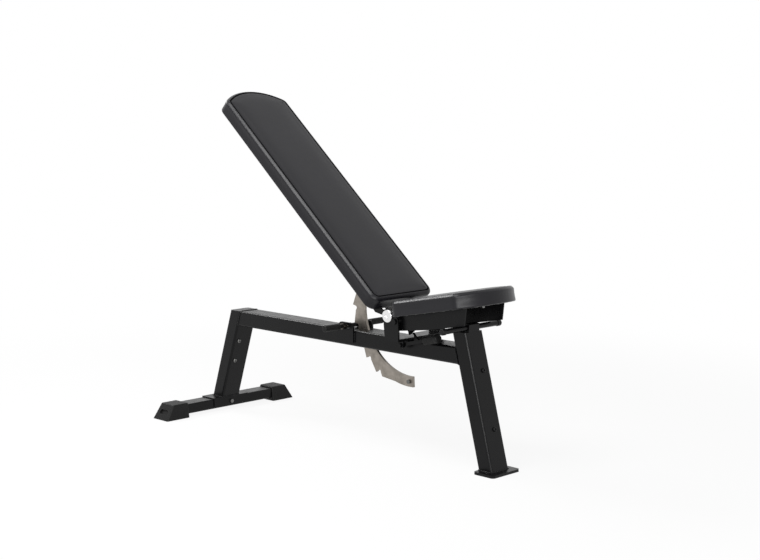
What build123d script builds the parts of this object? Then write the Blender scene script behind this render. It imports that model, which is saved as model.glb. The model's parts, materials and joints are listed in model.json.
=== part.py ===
from build123d import *

import math
import os

# Adjustable weight bench, in millimetres. +X is the seat end, +Z is up, and Y = 0 is the middle plane.
# Every piece is drawn with the backrest's hinge axis over X = 0, and the finished bench is moved
# along X so that the origin lies on the floor under the middle of its box.

# Frame tube, shared by the post, the beam and the rear leg
TUBE_WIDTH = 75.0
TUBE_DEPTH = 50.0
TUBE_WALL = 2.5
TUBE_CORNER = 7.0

# Front post and its foot
POST_REACH = 324.5            # hinge axis to the middle of the post's foot
POST_LEAN = 15.0              # degrees off upright, foot forward
POST_RISE = 40.0              # post's top above the beam's
POST_CAP_THICK = 4.0
BASE_LENGTH = 75.0
BASE_WIDTH = 118.0
BASE_CORNER = 10.0
BASE_PLATE_THICK = 5.0
BASE_PAD_THICK = 3.0
POST_SCREW_HEIGHTS = (115.0, 279.0)
POST_SCREW_ASIDE = 8.0        # off the post's middle plane

# Rear leg, stabiliser bar and foot caps
LEG_REACH = 874.0             # hinge axis to the middle of the leg's foot
LEG_LEAN = 18.5               # degrees off upright, foot rearward
LEG_CAP_THICK = 3.0
LEG_SCREW_HEIGHTS = (183.0, 252.0)
LEG_SCREW_ASIDE = -17.0       # off the leg's middle plane
BAR_SETBACK = 5.0             # stabiliser's middle behind the leg's foot
BAR_DEPTH = 60.0
BAR_HEIGHT = 33.0
BAR_WALL = 2.5
BAR_CORNER = 5.0
BAR_LIFT = 10.0               # floor to the bar's underside
FOOT_SPREAD = 548.0           # outer edge to outer edge of the foot caps
FOOT_CAP_LENGTH = 92.0
FOOT_CAP_BASE = 80.0
FOOT_CAP_CROWN = 67.0
FOOT_CAP_HEIGHT = 49.0
FOOT_CAP_SLOPE = 31.0         # how far the outer end leans in over the cap's height
FOOT_CAP_SOCKET = 62.0
FOOT_CAP_EDGE = 5.0
FOOT_SLOT_LENGTH = 40.0
FOOT_SLOT_WIDTH = 15.0
FOOT_SLOT_DEPTH = 5.0
SADDLE_LENGTH = 146.0
SADDLE_THICK = 3.0
SADDLE_DROP = 25.0            # saddle's cheeks below the bar's top
SADDLE_BOLT_DROP = 15.0       # bolt's axis below the bar's top

# Backrest hinge
HINGE_HEIGHT = 423.0
HINGE_LIFT = 73.0             # hinge axis above the beam's top
AXLE_DIA = 16.0
SLEEVE_DIA = 28.0
SLEEVE_HALF = 76.0
YOKE_HALF = 92.0              # middle plane to the ears' inner faces
YOKE_REAR = 13.0              # yoke's foot behind the hinge axis
YOKE_FRONT = 42.0
YOKE_BASE_THICK = 8.0
EAR_THICK = 6.0
EAR_HINGE_RADIUS = 20.0
EAR_PIVOT_RADIUS = 15.0
AXLE_CAP_DIA = 38.0
AXLE_CAP_THICK = 6.0
AXLE_CAP_EDGE = 3.0
AXLE_CAP_DIMPLE = 13.0
AXLE_CAP_DIMPLE_DEPTH = 2.5

# Backrest, drawn level and then raised
BACK_ANGLE = 40.5             # degrees above level in the photographed notch
BACK_GAP = 47.0               # hinge axis to the pad's lower end
BACK_FACE = 21.0              # pad's face above the hinge axis when level
BACK_LENGTH = 934.0
BACK_BOW_RADIUS = 190.0       # radius of the pad's rounded top end
PAD_WIDTH = 256.0
PAD_CORNER = 29.0
PAD_THICK = 35.0
PAD_CROWN = 3.0
PAD_ROLL = 9.0                # width of the rolled edge, out to the seam
ROLL_CREST = 5.5              # roll's highest line in from the pad's edge
SEAM_RUNOUT = 13.5            # where the face is back at full thickness
CROWN_START = 51.0            # width over which the face rises most
CROWN_START_RISE = 2.4
CROWN_FLAT = 85.0             # where the crown is at its height
SEAM_DEPTH = 1.6
BOARD_THICK = 9.0
BOARD_INSET = 6.0
BACK_TUBE_WIDTH = 50.0
BACK_TUBE_DEPTH = 25.0
BACK_TUBE_WALL = 2.0
BACK_TUBE_CORNER = 4.0
BACK_TUBE_START = 62.0
BACK_TUBE_LENGTH = 790.0
PLUG_HEAD = 3.0
PLUG_DEPTH = 14.0
PLATE_THICK = 4.0
PLATE_HALF = 100.0
LOWER_PLATE_START = 62.0
LOWER_PLATE_LENGTH = 88.0
UPPER_PLATE_START = 640.0
UPPER_PLATE_LENGTH = 50.0
ARM_HALF = 64.0               # middle plane to the hinge arms' inner faces
ARM_THICK = 6.0
ARM_EYE_RADIUS = 20.0
ARM_DEPTH = 26.0
ARM_UNDER_TURN = -105.0       # degrees round the eye to the arm's lower edge
ARM_OVER_TURN = 120.0         # and to its upper edge

# Toothed rack, concentric with the hinge, and the latch rod that holds it
RACK_THICK = 8.0
RACK_INNER_RADIUS = 192.0
RACK_TIP_RADIUS = 244.0
RACK_TAIL_RADIUS = 224.0
RACK_SHOULDER_RADIUS = 239.0
RACK_SHOULDER_TURN = 6.5      # degrees past the last tooth
RACK_TAPER_TURN = 20.0
RACK_TAIL_TURN = 39.0
RACK_PITCH = 13.5             # degrees from notch to notch
RACK_TEETH = 7
RACK_MOUTH_TURN = -50.0       # where a notch's round floor runs out into its flank
RACK_SLOT_ROOM = 4.0          # room round the rack in the beam's slots
STOP_BOLT_TURN = 4.0          # degrees before the tail's end
LATCH_DIA = 12.0
LATCH_LIFT = 9.0              # rod's axis above the beam
LATCH_ENGAGED_RADIUS = 234.0  # hinge axis to the rod's axis when it sits in a notch
LATCH_TRAVEL = 20.0
LATCH_HALF = 122.0
LATCH_EAR_THICK = 6.0
LATCH_EAR_REACH = 22.0        # ear past each end of the rod's travel
LATCH_EAR_TOP = 13.0          # ear above the rod's axis
LATCH_EAR_DROP = 38.0         # ear down the beam's side
GRIP_DIA = 20.0
GRIP_LENGTH = 60.0
GRIP_END = 2.0
COLLAR_DIA = 20.0
COLLAR_LENGTH = 8.0
SPRING_WIRE = 1.6
SPRING_PITCH = 3.0
SPRING_TURNS = 8
SPRING_ROOM = 0.5             # coil's bore round the rod

# Seat, drawn level about its pivot and then tilted
SEAT_PIVOT_AHEAD = 26.0       # pivot ahead of the hinge axis
SEAT_PIVOT_DROP = 14.0        # pivot below the hinge axis
SEAT_TILT = 11.0
SEAT_STEP = 7.5               # degrees from notch to notch of the seat's sector
SEAT_STEPS = 2
SEAT_SETBACK = 9.5            # pivot to the pad's rear end
SEAT_BOARD_LIFT = 14.5        # pivot to the board's underside
SEAT_LENGTH = 320.0
SEAT_BOW_RADIUS = 175.0
SEAT_PLATE_HALF = 79.0        # middle plane to the side plates' inner faces
SEAT_PLATE_EYE_RADIUS = 14.0
SEAT_PLATE_NECK_TURN = 135.0  # degrees round the eye to the plate's upper edge
SEAT_PLATE_HEEL_LENGTH = 10.0  # plate's lower corner behind the pivot
SEAT_PLATE_HEEL_DEPTH = 28.0  # plate's lower corner below the pivot
SEAT_PLATE_REACH = 271.0
SEAT_PLATE_RAKE_LENGTH = 16.0
SEAT_PLATE_WAIST_LENGTH = 112.0  # where the plate reaches its full depth
PIVOT_BOLT_DIA = 10.0
PIVOT_HEX_SHARE = 0.9         # of the bolt's diameter, middle of its head to a corner
REAR_CROSS_START = 30.0
FRONT_CROSS_START = 180.0
CROSS_LENGTH = 45.0
SECTOR_RADIUS = 46.0
SECTOR_NOTCH_DEPTH = 5.5
SECTOR_NOTCH_ROOM = 0.5       # each side of the nose at a notch's floor
SECTOR_NOTCH_FLARE = 6.0      # degrees that a notch's flanks lean out
SECTOR_MARGIN = 5.5           # degrees of sector past its end notches

# Rest bar across the post's top, which carries the seat
REST_BAR_DIA = 16.0
REST_BAR_HALF = 122.0
REST_BAR_AHEAD = 236.0        # ahead of the hinge axis
REST_BLOCK_HALF = 22.0
REST_BLOCK_WALL = 3.5
REST_PLUG_DIA = 19.0
REST_PLUG_LENGTH = 14.0
REST_PLUG_END = 3.0

# Seat lever beside the beam
LEVER_Y = -52.0
LEVER_THICK = 6.0
LEVER_WIDTH = 11.0
LEVER_EYE_RADIUS = 10.0
LEVER_PIVOT_AHEAD = 14.0
LEVER_PIVOT_DROP = 16.0       # pivot below the beam's top
LEVER_RISE = 14.0             # degrees above level at rest
LEVER_REACH = 94.0            # pivot to the grip
LEVER_TANG_DIA = 10.0
LEVER_GRIP_DIA = 28.0
LEVER_GRIP_LENGTH = 56.0
LEVER_GRIP_EDGE = 5.0
LEVER_ENGAGE = 5.0            # degrees of lift that set the nose in a notch
NOSE_TURN = 314.0             # degrees round the seat pivot to the nose, where it lifts straight in
NOSE_WIDTH = 3.0
NOSE_LENGTH = 8.0             # nose's parallel tip
NOSE_FOOT_WIDTH = 9.0
NOSE_CLEARANCE = 1.2
LUG_WIDTH = 24.0
LUG_THICK = 6.0
LEVER_BOLT_DIA = 8.0

# Fasteners and fits
BOLT_DIA = 8.0
BOLT_HEAD_DIA = 14.0
BOLT_HEAD_THICK = 5.0
BUTTON_EDGE = 3.5             # rounding of a button head
NUT_THICK = 6.0
SOCKET_DIA = 6.0
SOCKET_DEPTH = 2.5
SCREW_LENGTH = 14.0
RUN_FIT = 0.3                 # radial room round a piece that turns or slides
SEAT_FIT = 0.1                # radial room round a piece that stays put

# Derived places
BEAM_TOP = HINGE_HEIGHT - HINGE_LIFT
POST_TOP = BEAM_TOP + POST_RISE
POST_FOOT_Z = BASE_PLATE_THICK + BASE_PAD_THICK
BAR_TOP = BAR_LIFT + BAR_HEIGHT
LEG_FOOT_Z = BAR_TOP + SADDLE_THICK
BAR_X = -LEG_REACH - BAR_SETBACK
BEAM_MID = BEAM_TOP - TUBE_DEPTH / 2
LATCH_Z = BEAM_TOP + LATCH_LIFT
LATCH_LOCAL_Z = LATCH_Z - HINGE_HEIGHT
LATCH_IN_X = -math.sqrt(LATCH_ENGAGED_RADIUS ** 2 - LATCH_LOCAL_Z ** 2)
LATCH_OUT_X = LATCH_IN_X - LATCH_TRAVEL
BOARD_TOP = BACK_FACE - PAD_THICK
BOARD_BASE = BOARD_TOP - BOARD_THICK
PLATE_BASE = BOARD_BASE - PLATE_THICK
BACK_TUBE_BASE = PLATE_BASE - BACK_TUBE_DEPTH
SEAT_PIVOT = (SEAT_PIVOT_AHEAD, HINGE_HEIGHT - SEAT_PIVOT_DROP)
REST_BAR_Z = POST_TOP + POST_CAP_THICK + REST_BLOCK_WALL + REST_BAR_DIA / 2 + SEAT_FIT
LEVER_PIVOT = (LEVER_PIVOT_AHEAD, BEAM_TOP - LEVER_PIVOT_DROP)
YOKE_OUTER = YOKE_HALF + EAR_THICK
SIDES = {"left": 1, "right": -1}

nodes = {}


def polar(radius, angle):
    """Point at a radius and an angle in degrees."""
    return radius * math.cos(math.radians(angle)), radius * math.sin(math.radians(angle))


def turned(point, angle):
    """Point turned about the origin, anticlockwise in degrees."""
    c, s = math.cos(math.radians(angle)), math.sin(math.radians(angle))
    return point[0] * c - point[1] * s, point[0] * s + point[1] * c


def rod(radius, y0, y1, x=0.0, z=0.0):
    """Round bar along Y."""
    return Pos(x, (y0 + y1) / 2, z) * Rot(90, 0, 0) * Cylinder(radius, abs(y1 - y0))


def tube(outer, bore, y0, y1, x=0.0, z=0.0):
    """Round tube along Y."""
    return rod(outer, y0, y1, x, z) - rod(bore, y0, y1, x, z)


def hex_bar(corner_radius, y0, y1, x=0.0, z=0.0):
    """Hexagonal bar along Y."""
    prism = extrude(RegularPolygon(corner_radius, 6), abs(y1 - y0) / 2, both=True)
    return Pos(x, (y0 + y1) / 2, z) * Rot(90, 0, 0) * prism


def block(x0, x1, y0, y1, z0, z1):
    """Box between two corners."""
    return Pos((x0 + x1) / 2, (y0 + y1) / 2, (z0 + z1) / 2) * Box(x1 - x0, y1 - y0, z1 - z0)


def upright_plate(outline, y0, y1):
    """Plate cut from an outline in X and Z, between two places along Y."""
    return extrude(Plane.XZ.offset(-max(y0, y1)) * outline, abs(y1 - y0))


def between(half, thick, side):
    """Start and end along Y of a plate that stands outside a half width."""
    return side * half, side * (half + thick)


def tube_section(depth, width, corner, wall=None):
    """Section of a rectangular tube, or of a bar when no wall is given."""
    section = RectangleRounded(depth, width, corner)
    if wall is None:
        return section
    inner_corner = max(corner - wall, wall / 4)
    return section - RectangleRounded(depth - 2 * wall, width - 2 * wall, inner_corner)


def leaning_tube(foot_x, foot_z, lean, z0, z1, wall=None):
    """Frame tube through a foot, leaning forward by lean degrees, cut level at z0 and z1."""
    reach = (z1 - foot_z) / math.cos(math.radians(lean)) + TUBE_WIDTH
    section = tube_section(TUBE_DEPTH, TUBE_WIDTH, TUBE_CORNER, wall)
    whole = extrude(section, reach) + extrude(section, -TUBE_WIDTH)
    slab = Pos(foot_x, 0, (z0 + z1) / 2) * Box(4 * reach, 2 * TUBE_WIDTH, z1 - z0)
    return (Pos(foot_x, 0, foot_z) * Rot(0, lean, 0) * whole) & slab


def on_front_face(foot_x, foot_z, lean, height, aside):
    """Place on a leaning tube's front face at a height, with +Z out of the face."""
    along = (height - foot_z) / math.cos(math.radians(lean))
    return Pos(foot_x, 0, foot_z) * Rot(0, lean, 0) * Pos(TUBE_DEPTH / 2, aside, along) * Rot(0, 90, 0)


def button_screw(length):
    """Socket screw with a low round head, its head on Z = 0 and its shank below."""
    head = Pos(0, 0, BOLT_HEAD_THICK / 2) * Cylinder(BOLT_HEAD_DIA / 2, BOLT_HEAD_THICK)
    head = fillet(head.edges().sort_by(Axis.Z)[-1], BUTTON_EDGE)
    socket = extrude(RegularPolygon(SOCKET_DIA / 2, 6), SOCKET_DEPTH)
    head -= Pos(0, 0, BOLT_HEAD_THICK - SOCKET_DEPTH) * socket
    return head + Pos(0, 0, -length / 2) * Cylinder(BOLT_DIA / 2, length)


def screw_hole():
    """Clearance hole for a button screw."""
    return Cylinder(BOLT_DIA / 2 + SEAT_FIT, 4 * SCREW_LENGTH)


def pad_outline(length, bow, inset, z, edge=0.0):
    """Outline of a pad at a height: straight at X = 0, bowed at its far end, drawn in by an inset."""
    half = PAD_WIDTH / 2 - edge - inset
    radius = bow - edge - inset
    tip = length - edge - inset
    side = tip - radius + math.sqrt(radius ** 2 - half ** 2)
    start = edge + inset
    rim = Line((start, half), (start, -half)) + Line((start, -half), (side, -half))
    rim += ThreePointArc((side, -half), (tip, 0), (side, half)) + Line((side, half), (start, half))
    face = make_face(rim)
    corner = max(PAD_CORNER - edge - inset, PAD_ROLL)
    return Pos(0, 0, z) * fillet(face.vertices(), corner)


def cushion(length, bow):
    """Upholstered cushion round its board: drawn-in sides, rolled edge, seam and crowned face."""
    lip = PAD_THICK - PAD_ROLL
    profile = (
        (BOARD_INSET / 2, -BOARD_THICK),
        (0.0, PAD_ROLL / 2 - BOARD_THICK),
        (BOARD_INSET / 4, (lip - BOARD_THICK) / 2),
        (0.0, lip),
        (PAD_ROLL / 4, PAD_THICK - PAD_ROLL / 4),
        (ROLL_CREST, PAD_THICK),
        (PAD_ROLL, PAD_THICK - SEAM_DEPTH),
        (SEAM_RUNOUT, PAD_THICK),
        (CROWN_START, PAD_THICK + CROWN_START_RISE),
        (CROWN_FLAT, PAD_THICK + PAD_CROWN),
    )
    cover = loft([pad_outline(length, bow, inset, z) for inset, z in profile], ruled=True)
    return cover - board(length, bow)


def board(length, bow):
    """Plywood board let into a cushion's underside, its top on Z = 0."""
    return extrude(pad_outline(length, bow, 0.0, -BOARD_THICK, BOARD_INSET), BOARD_THICK)


def biarc(p0, t0, p1, t1):
    """Two arcs that leave p0 along t0 and reach p1 along t1."""
    chord, both = p1 - p0, t0 + t1
    lead = chord.dot(both)
    bend = 2 * (1 - t0.dot(t1))
    reach = (-lead + math.sqrt(lead ** 2 + bend * chord.dot(chord))) / bend
    middle = (p0 + p1 + (t0 - t1) * reach) * 0.5
    return [Edge.make_tangent_arc(p0, t0, middle), Edge.make_tangent_arc(p1, -t1, middle).reversed()]


def coil(radius, wire, pitch, turns, y0, side):
    """Spring wound about the Y axis from y0 outwards, and the least gap between its turns."""
    def spot(turn):
        x, z = polar(radius, 360 * turn)
        return Vector(x, side * (y0 + pitch * turn), z)

    def heading(turn):
        x, z = polar(2 * math.pi * radius, 360 * turn + 90)
        return Vector(x, side * pitch, z).normalized()

    quarters = [quarter / 4 for quarter in range(4 * turns + 1)]
    edges = []
    for a, b in zip(quarters, quarters[1:]):
        edges += biarc(spot(a), heading(a), spot(b), heading(b))
    body = sweep(Plane(spot(0), z_dir=heading(0)) * Circle(wire / 2), path=Wire(edges))
    points = [edge @ share for edge in edges for share in (0.0, 0.5)]
    lap = len(points) // (2 * turns)
    gap = min((p - q).length for i, p in enumerate(points) for q in points[i + lap:]) - wire
    return body, gap


def front_frame():
    """Front post, its cap, foot plate, foot pad and screws."""
    post_at = (POST_REACH, POST_FOOT_Z, -POST_LEAN)
    post = leaning_tube(*post_at, POST_FOOT_Z, POST_TOP, TUBE_WALL)
    screws = []
    for height in POST_SCREW_HEIGHTS:
        place = on_front_face(*post_at, height, POST_SCREW_ASIDE)
        post -= place * screw_hole()
        screws.append(place * button_screw(SCREW_LENGTH))
    nodes["front_post"] = post
    nodes["post_screws"] = Compound(children=screws)
    nodes["post_cap"] = leaning_tube(*post_at, POST_TOP, POST_TOP + POST_CAP_THICK)
    half_depth = TUBE_DEPTH / 2 / math.cos(math.radians(POST_LEAN))
    base = RectangleRounded(BASE_LENGTH, BASE_WIDTH, BASE_CORNER)
    base = Pos(POST_REACH - half_depth + BASE_LENGTH / 2, 0) * base
    nodes["front_foot_pad"] = extrude(base, BASE_PAD_THICK)
    nodes["front_base_plate"] = extrude(Pos(0, 0, BASE_PAD_THICK) * base, BASE_PLATE_THICK)


def main_beam():
    """Level beam between the leg and the post, slotted for the rack."""
    post_x = POST_REACH - (BEAM_MID - POST_FOOT_Z) * math.tan(math.radians(POST_LEAN))
    leg_x = -LEG_REACH + (BEAM_MID - LEG_FOOT_Z) * math.tan(math.radians(LEG_LEAN))
    section = tube_section(TUBE_DEPTH, TUBE_WIDTH, TUBE_CORNER, TUBE_WALL)
    beam = Pos(leg_x, 0, BEAM_MID) * Rot(0, 90, 0) * extrude(section, post_x - leg_x)
    trim = Box(TUBE_DEPTH, 2 * TUBE_WIDTH, 6 * TUBE_WIDTH)
    beam -= Pos(post_x, 0, BEAM_MID) * Rot(0, -POST_LEAN, 0) * trim
    beam -= Pos(leg_x, 0, BEAM_MID) * Rot(0, LEG_LEAN, 0) * trim
    half_slot = RACK_THICK / 2 + RACK_SLOT_ROOM
    for outside, inside in ((BEAM_TOP, -1), (BEAM_TOP - TUBE_DEPTH, 1)):
        drops = [HINGE_HEIGHT - outside, HINGE_HEIGHT - outside - inside * TUBE_WALL]
        rear = -math.sqrt(RACK_TIP_RADIUS ** 2 - min(drops) ** 2) - RACK_SLOT_ROOM
        front = -math.sqrt(RACK_INNER_RADIUS ** 2 - max(drops) ** 2) + RACK_SLOT_ROOM
        beam -= block(rear, front, -half_slot, half_slot, outside - TUBE_WALL * 2, outside + TUBE_WALL * 2)
    nodes["main_beam"] = beam


def foot_cap(side):
    """Moulded foot on one end of the stabiliser bar."""
    outer = FOOT_SPREAD / 2
    inner = outer - FOOT_CAP_LENGTH
    base = Pos(0, outer - FOOT_CAP_LENGTH / 2) * Rectangle(FOOT_CAP_BASE, FOOT_CAP_LENGTH)
    crown_length = FOOT_CAP_LENGTH - FOOT_CAP_SLOPE
    crown = Pos(0, inner + crown_length / 2, FOOT_CAP_HEIGHT) * Rectangle(FOOT_CAP_CROWN, crown_length)
    cap = loft([base, crown], ruled=True)
    cap = fillet(cap.edges().filter_by_position(Axis.Z, 1, FOOT_CAP_HEIGHT, (False, True)), FOOT_CAP_EDGE)
    slope = math.degrees(math.atan2(FOOT_CAP_HEIGHT, FOOT_CAP_SLOPE))
    face = Pos(0, outer - FOOT_CAP_SLOPE / 2, FOOT_CAP_HEIGHT / 2) * Rot(-slope, 0, 0)
    slot = extrude(SlotOverall(FOOT_SLOT_LENGTH, FOOT_SLOT_WIDTH), FOOT_SLOT_DEPTH, both=True)
    cap -= face * slot
    depth, height = BAR_DEPTH + 2 * SEAT_FIT, BAR_HEIGHT + 2 * SEAT_FIT
    socket = extrude(tube_section(depth, height, BAR_CORNER), FOOT_CAP_SOCKET)
    cap -= Pos(0, inner, BAR_LIFT + BAR_HEIGHT / 2) * Rot(-90, 0, 0) * socket
    return Pos(BAR_X, 0, 0) * (cap if side > 0 else mirror(cap, Plane.XZ))


def rear_frame():
    """Rear leg, its cap and screws, the saddle, the stabiliser bar and its foot caps."""
    leg_at = (-LEG_REACH, LEG_FOOT_Z, LEG_LEAN)
    leg = leaning_tube(*leg_at, LEG_FOOT_Z, BEAM_TOP - LEG_CAP_THICK, TUBE_WALL)
    screws = []
    for height in LEG_SCREW_HEIGHTS:
        place = on_front_face(*leg_at, height, LEG_SCREW_ASIDE)
        leg -= place * screw_hole()
        screws.append(place * button_screw(SCREW_LENGTH))
    nodes["rear_leg"] = leg
    nodes["leg_screws"] = Compound(children=screws)
    nodes["rear_leg_cap"] = leaning_tube(*leg_at, BEAM_TOP - LEG_CAP_THICK, BEAM_TOP)

    bar_half = FOOT_SPREAD / 2 - FOOT_CAP_LENGTH + FOOT_CAP_SOCKET - RUN_FIT
    section = tube_section(BAR_DEPTH, BAR_HEIGHT, BAR_CORNER, BAR_WALL)
    bar = Pos(BAR_X, 0, BAR_TOP - BAR_HEIGHT / 2) * Rot(-90, 0, 0) * extrude(section, bar_half, both=True)
    inner_half = BAR_DEPTH / 2 + SEAT_FIT
    outer_half = inner_half + SADDLE_THICK
    saddle_half = SADDLE_LENGTH / 2
    saddle = block(-outer_half, outer_half, -saddle_half, saddle_half, BAR_TOP - SADDLE_DROP, LEG_FOOT_Z)
    saddle -= block(-inner_half, inner_half, -SADDLE_LENGTH, SADDLE_LENGTH, 0, BAR_TOP)
    saddle = Pos(BAR_X, 0, 0) * saddle
    bolt_at = Pos(BAR_X, 0, BAR_TOP - SADDLE_BOLT_DROP) * Rot(0, 0, -90)
    hole = bolt_at * rod(BOLT_DIA / 2 + SEAT_FIT, -BAR_DEPTH, BAR_DEPTH)
    nodes["rear_stabiliser"] = bar - hole
    nodes["rear_saddle"] = saddle - hole
    bolt = rod(BOLT_DIA / 2, -outer_half - NUT_THICK, outer_half)
    bolt += hex_bar(BOLT_HEAD_DIA / 2, outer_half, outer_half + BOLT_HEAD_THICK)
    bolt += hex_bar(BOLT_HEAD_DIA / 2, -outer_half - NUT_THICK, -outer_half)
    nodes["saddle_bolt"] = bolt_at * bolt
    for name, side in SIDES.items():
        nodes[f"foot_cap_{name}"] = foot_cap(side)


def hinge_yoke():
    """Yoke on the beam that carries the hinge axle and the seat's pivots."""
    base_top = BEAM_TOP + YOKE_BASE_THICK
    nodes["hinge_saddle_base"] = block(-YOKE_REAR, YOKE_FRONT, -YOKE_HALF, YOKE_HALF, BEAM_TOP, base_top)
    foot = Pos((YOKE_FRONT - YOKE_REAR) / 2, BEAM_TOP + YOKE_BASE_THICK / 2)
    foot *= Rectangle(YOKE_FRONT + YOKE_REAR, YOKE_BASE_THICK)
    eye = Pos(0, HINGE_HEIGHT) * Circle(EAR_HINGE_RADIUS)
    pivot = Pos(*SEAT_PIVOT) * Circle(EAR_PIVOT_RADIUS)
    outline = make_hull(foot.edges() + eye.edges() + pivot.edges())
    outline -= Pos(0, HINGE_HEIGHT) * Circle(AXLE_DIA / 2 + SEAT_FIT)
    outline -= Pos(*SEAT_PIVOT) * Circle(PIVOT_BOLT_DIA / 2 + SEAT_FIT)
    bolts, spacers, nuts = [], [], []
    plate_inner, plate_outer = SEAT_PLATE_HALF, SEAT_PLATE_HALF + PLATE_THICK
    hex_radius = PIVOT_BOLT_DIA * PIVOT_HEX_SHARE
    nut_outer = plate_inner - RUN_FIT
    nut_inner = nut_outer - NUT_THICK
    for name, side in SIDES.items():
        nodes[f"hinge_ear_{name}"] = upright_plate(outline, *between(YOKE_HALF, EAR_THICK, side))
        cap_end = YOKE_OUTER + AXLE_CAP_THICK
        cap = rod(AXLE_CAP_DIA / 2, side * YOKE_OUTER, side * cap_end)
        cap = fillet(cap.edges().sort_by(Axis.Y)[-1 if side > 0 else 0], AXLE_CAP_EDGE)
        cap -= rod(AXLE_CAP_DIMPLE / 2, side * (cap_end - AXLE_CAP_DIMPLE_DEPTH), side * cap_end)
        nodes[f"axle_cap_{name}"] = Pos(0, 0, HINGE_HEIGHT) * cap
        at = SEAT_PIVOT
        bolt = rod(PIVOT_BOLT_DIA / 2, side * nut_inner, side * YOKE_OUTER, *at)
        head_end = YOKE_OUTER + BOLT_HEAD_THICK
        bolts.append(bolt + hex_bar(hex_radius, side * YOKE_OUTER, side * head_end, *at))
        bore = PIVOT_BOLT_DIA / 2 + SEAT_FIT
        spacers.append(tube(hex_radius, bore, side * (plate_outer + RUN_FIT), side * YOKE_HALF, *at))
        nut = hex_bar(hex_radius, side * nut_inner, side * nut_outer, *at)
        nuts.append(nut - rod(bore, side * nut_inner, side * nut_outer, *at))
    nodes["seat_pivot_bolts"] = Compound(children=bolts)
    nodes["seat_pivot_spacers"] = Compound(children=spacers)
    nodes["seat_pivot_nuts"] = Compound(children=nuts)
    nodes["hinge_axle"] = rod(AXLE_DIA / 2, -YOKE_OUTER, YOKE_OUTER, 0, HINGE_HEIGHT)


def rack_outline():
    """Rack's outline about the hinge with the backrest level: hooked notches outside, smooth inside."""
    seat_radius = LATCH_DIA / 2 + RUN_FIT
    rod_at = (LATCH_IN_X, LATCH_LOCAL_Z)
    hook_z = LATCH_LOCAL_Z + seat_radius
    tip = (-math.sqrt(RACK_TIP_RADIUS ** 2 - hook_z ** 2), hook_z)
    ceiling = (rod_at[0], hook_z)
    floor = (rod_at[0] + seat_radius, rod_at[1])
    mouth_turn = polar(seat_radius, RACK_MOUTH_TURN)
    mouth = (rod_at[0] + mouth_turn[0], rod_at[1] + mouth_turn[1])
    last_turn = math.degrees(math.atan2(tip[1], tip[0])) + (RACK_TEETH - 1) * RACK_PITCH
    shoulder = polar(RACK_SHOULDER_RADIUS, last_turn + RACK_SHOULDER_TURN)
    taper = polar(RACK_TAIL_RADIUS, last_turn + RACK_TAPER_TURN)
    tail_turn = last_turn + RACK_TAIL_TURN
    tail_middle = polar(RACK_TAIL_RADIUS, last_turn + (RACK_TAPER_TURN + RACK_TAIL_TURN) / 2)
    top_inner = (-math.sqrt(RACK_INNER_RADIUS ** 2 - BACK_TUBE_BASE ** 2), BACK_TUBE_BASE)
    top_turn = math.degrees(math.atan2(top_inner[1], top_inner[0]))

    edges = [Line(top_inner, (tip[0], BACK_TUBE_BASE)), Line((tip[0], BACK_TUBE_BASE), tip)]
    for tooth in range(RACK_TEETH):
        turn = tooth * RACK_PITCH
        edges.append(Line(turned(tip, turn), turned(ceiling, turn)))
        edges.append(ThreePointArc(turned(ceiling, turn), turned(floor, turn), turned(mouth, turn)))
        is_last = tooth == RACK_TEETH - 1
        edges.append(Line(turned(mouth, turn), shoulder if is_last else turned(tip, turn + RACK_PITCH)))
    edges.append(Line(shoulder, taper))
    edges.append(ThreePointArc(taper, tail_middle, polar(RACK_TAIL_RADIUS, tail_turn)))
    edges.append(Line(polar(RACK_TAIL_RADIUS, tail_turn), polar(RACK_INNER_RADIUS, tail_turn)))
    inner_middle = polar(RACK_INNER_RADIUS, (tail_turn + top_turn) / 2)
    edges.append(ThreePointArc(polar(RACK_INNER_RADIUS, tail_turn), inner_middle, top_inner))
    bolt_at = polar((RACK_INNER_RADIUS + RACK_TAIL_RADIUS) / 2, tail_turn - STOP_BOLT_TURN)
    return make_face(edges), bolt_at


def pad_bolts(places, seat_z):
    """Bolts up through a plate into a board, their heads under the plate."""
    bolts = []
    for x, y in places:
        shank = Pos(x, y, seat_z) * extrude(Circle(BOLT_DIA / 2), PLATE_THICK + BOARD_THICK / 2)
        head = Pos(x, y, seat_z) * extrude(RegularPolygon(BOLT_HEAD_DIA / 2, 6), -BOLT_HEAD_THICK)
        bolts.append(shank + head)
    return bolts


def pad_holes(places, seat_z):
    """Holes for the pad bolts."""
    depth = PLATE_THICK + BOARD_THICK / 2 + RUN_FIT
    hole = extrude(Circle(BOLT_DIA / 2 + SEAT_FIT), depth)
    return [Pos(x, y, seat_z) * hole for x, y in places]


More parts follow.
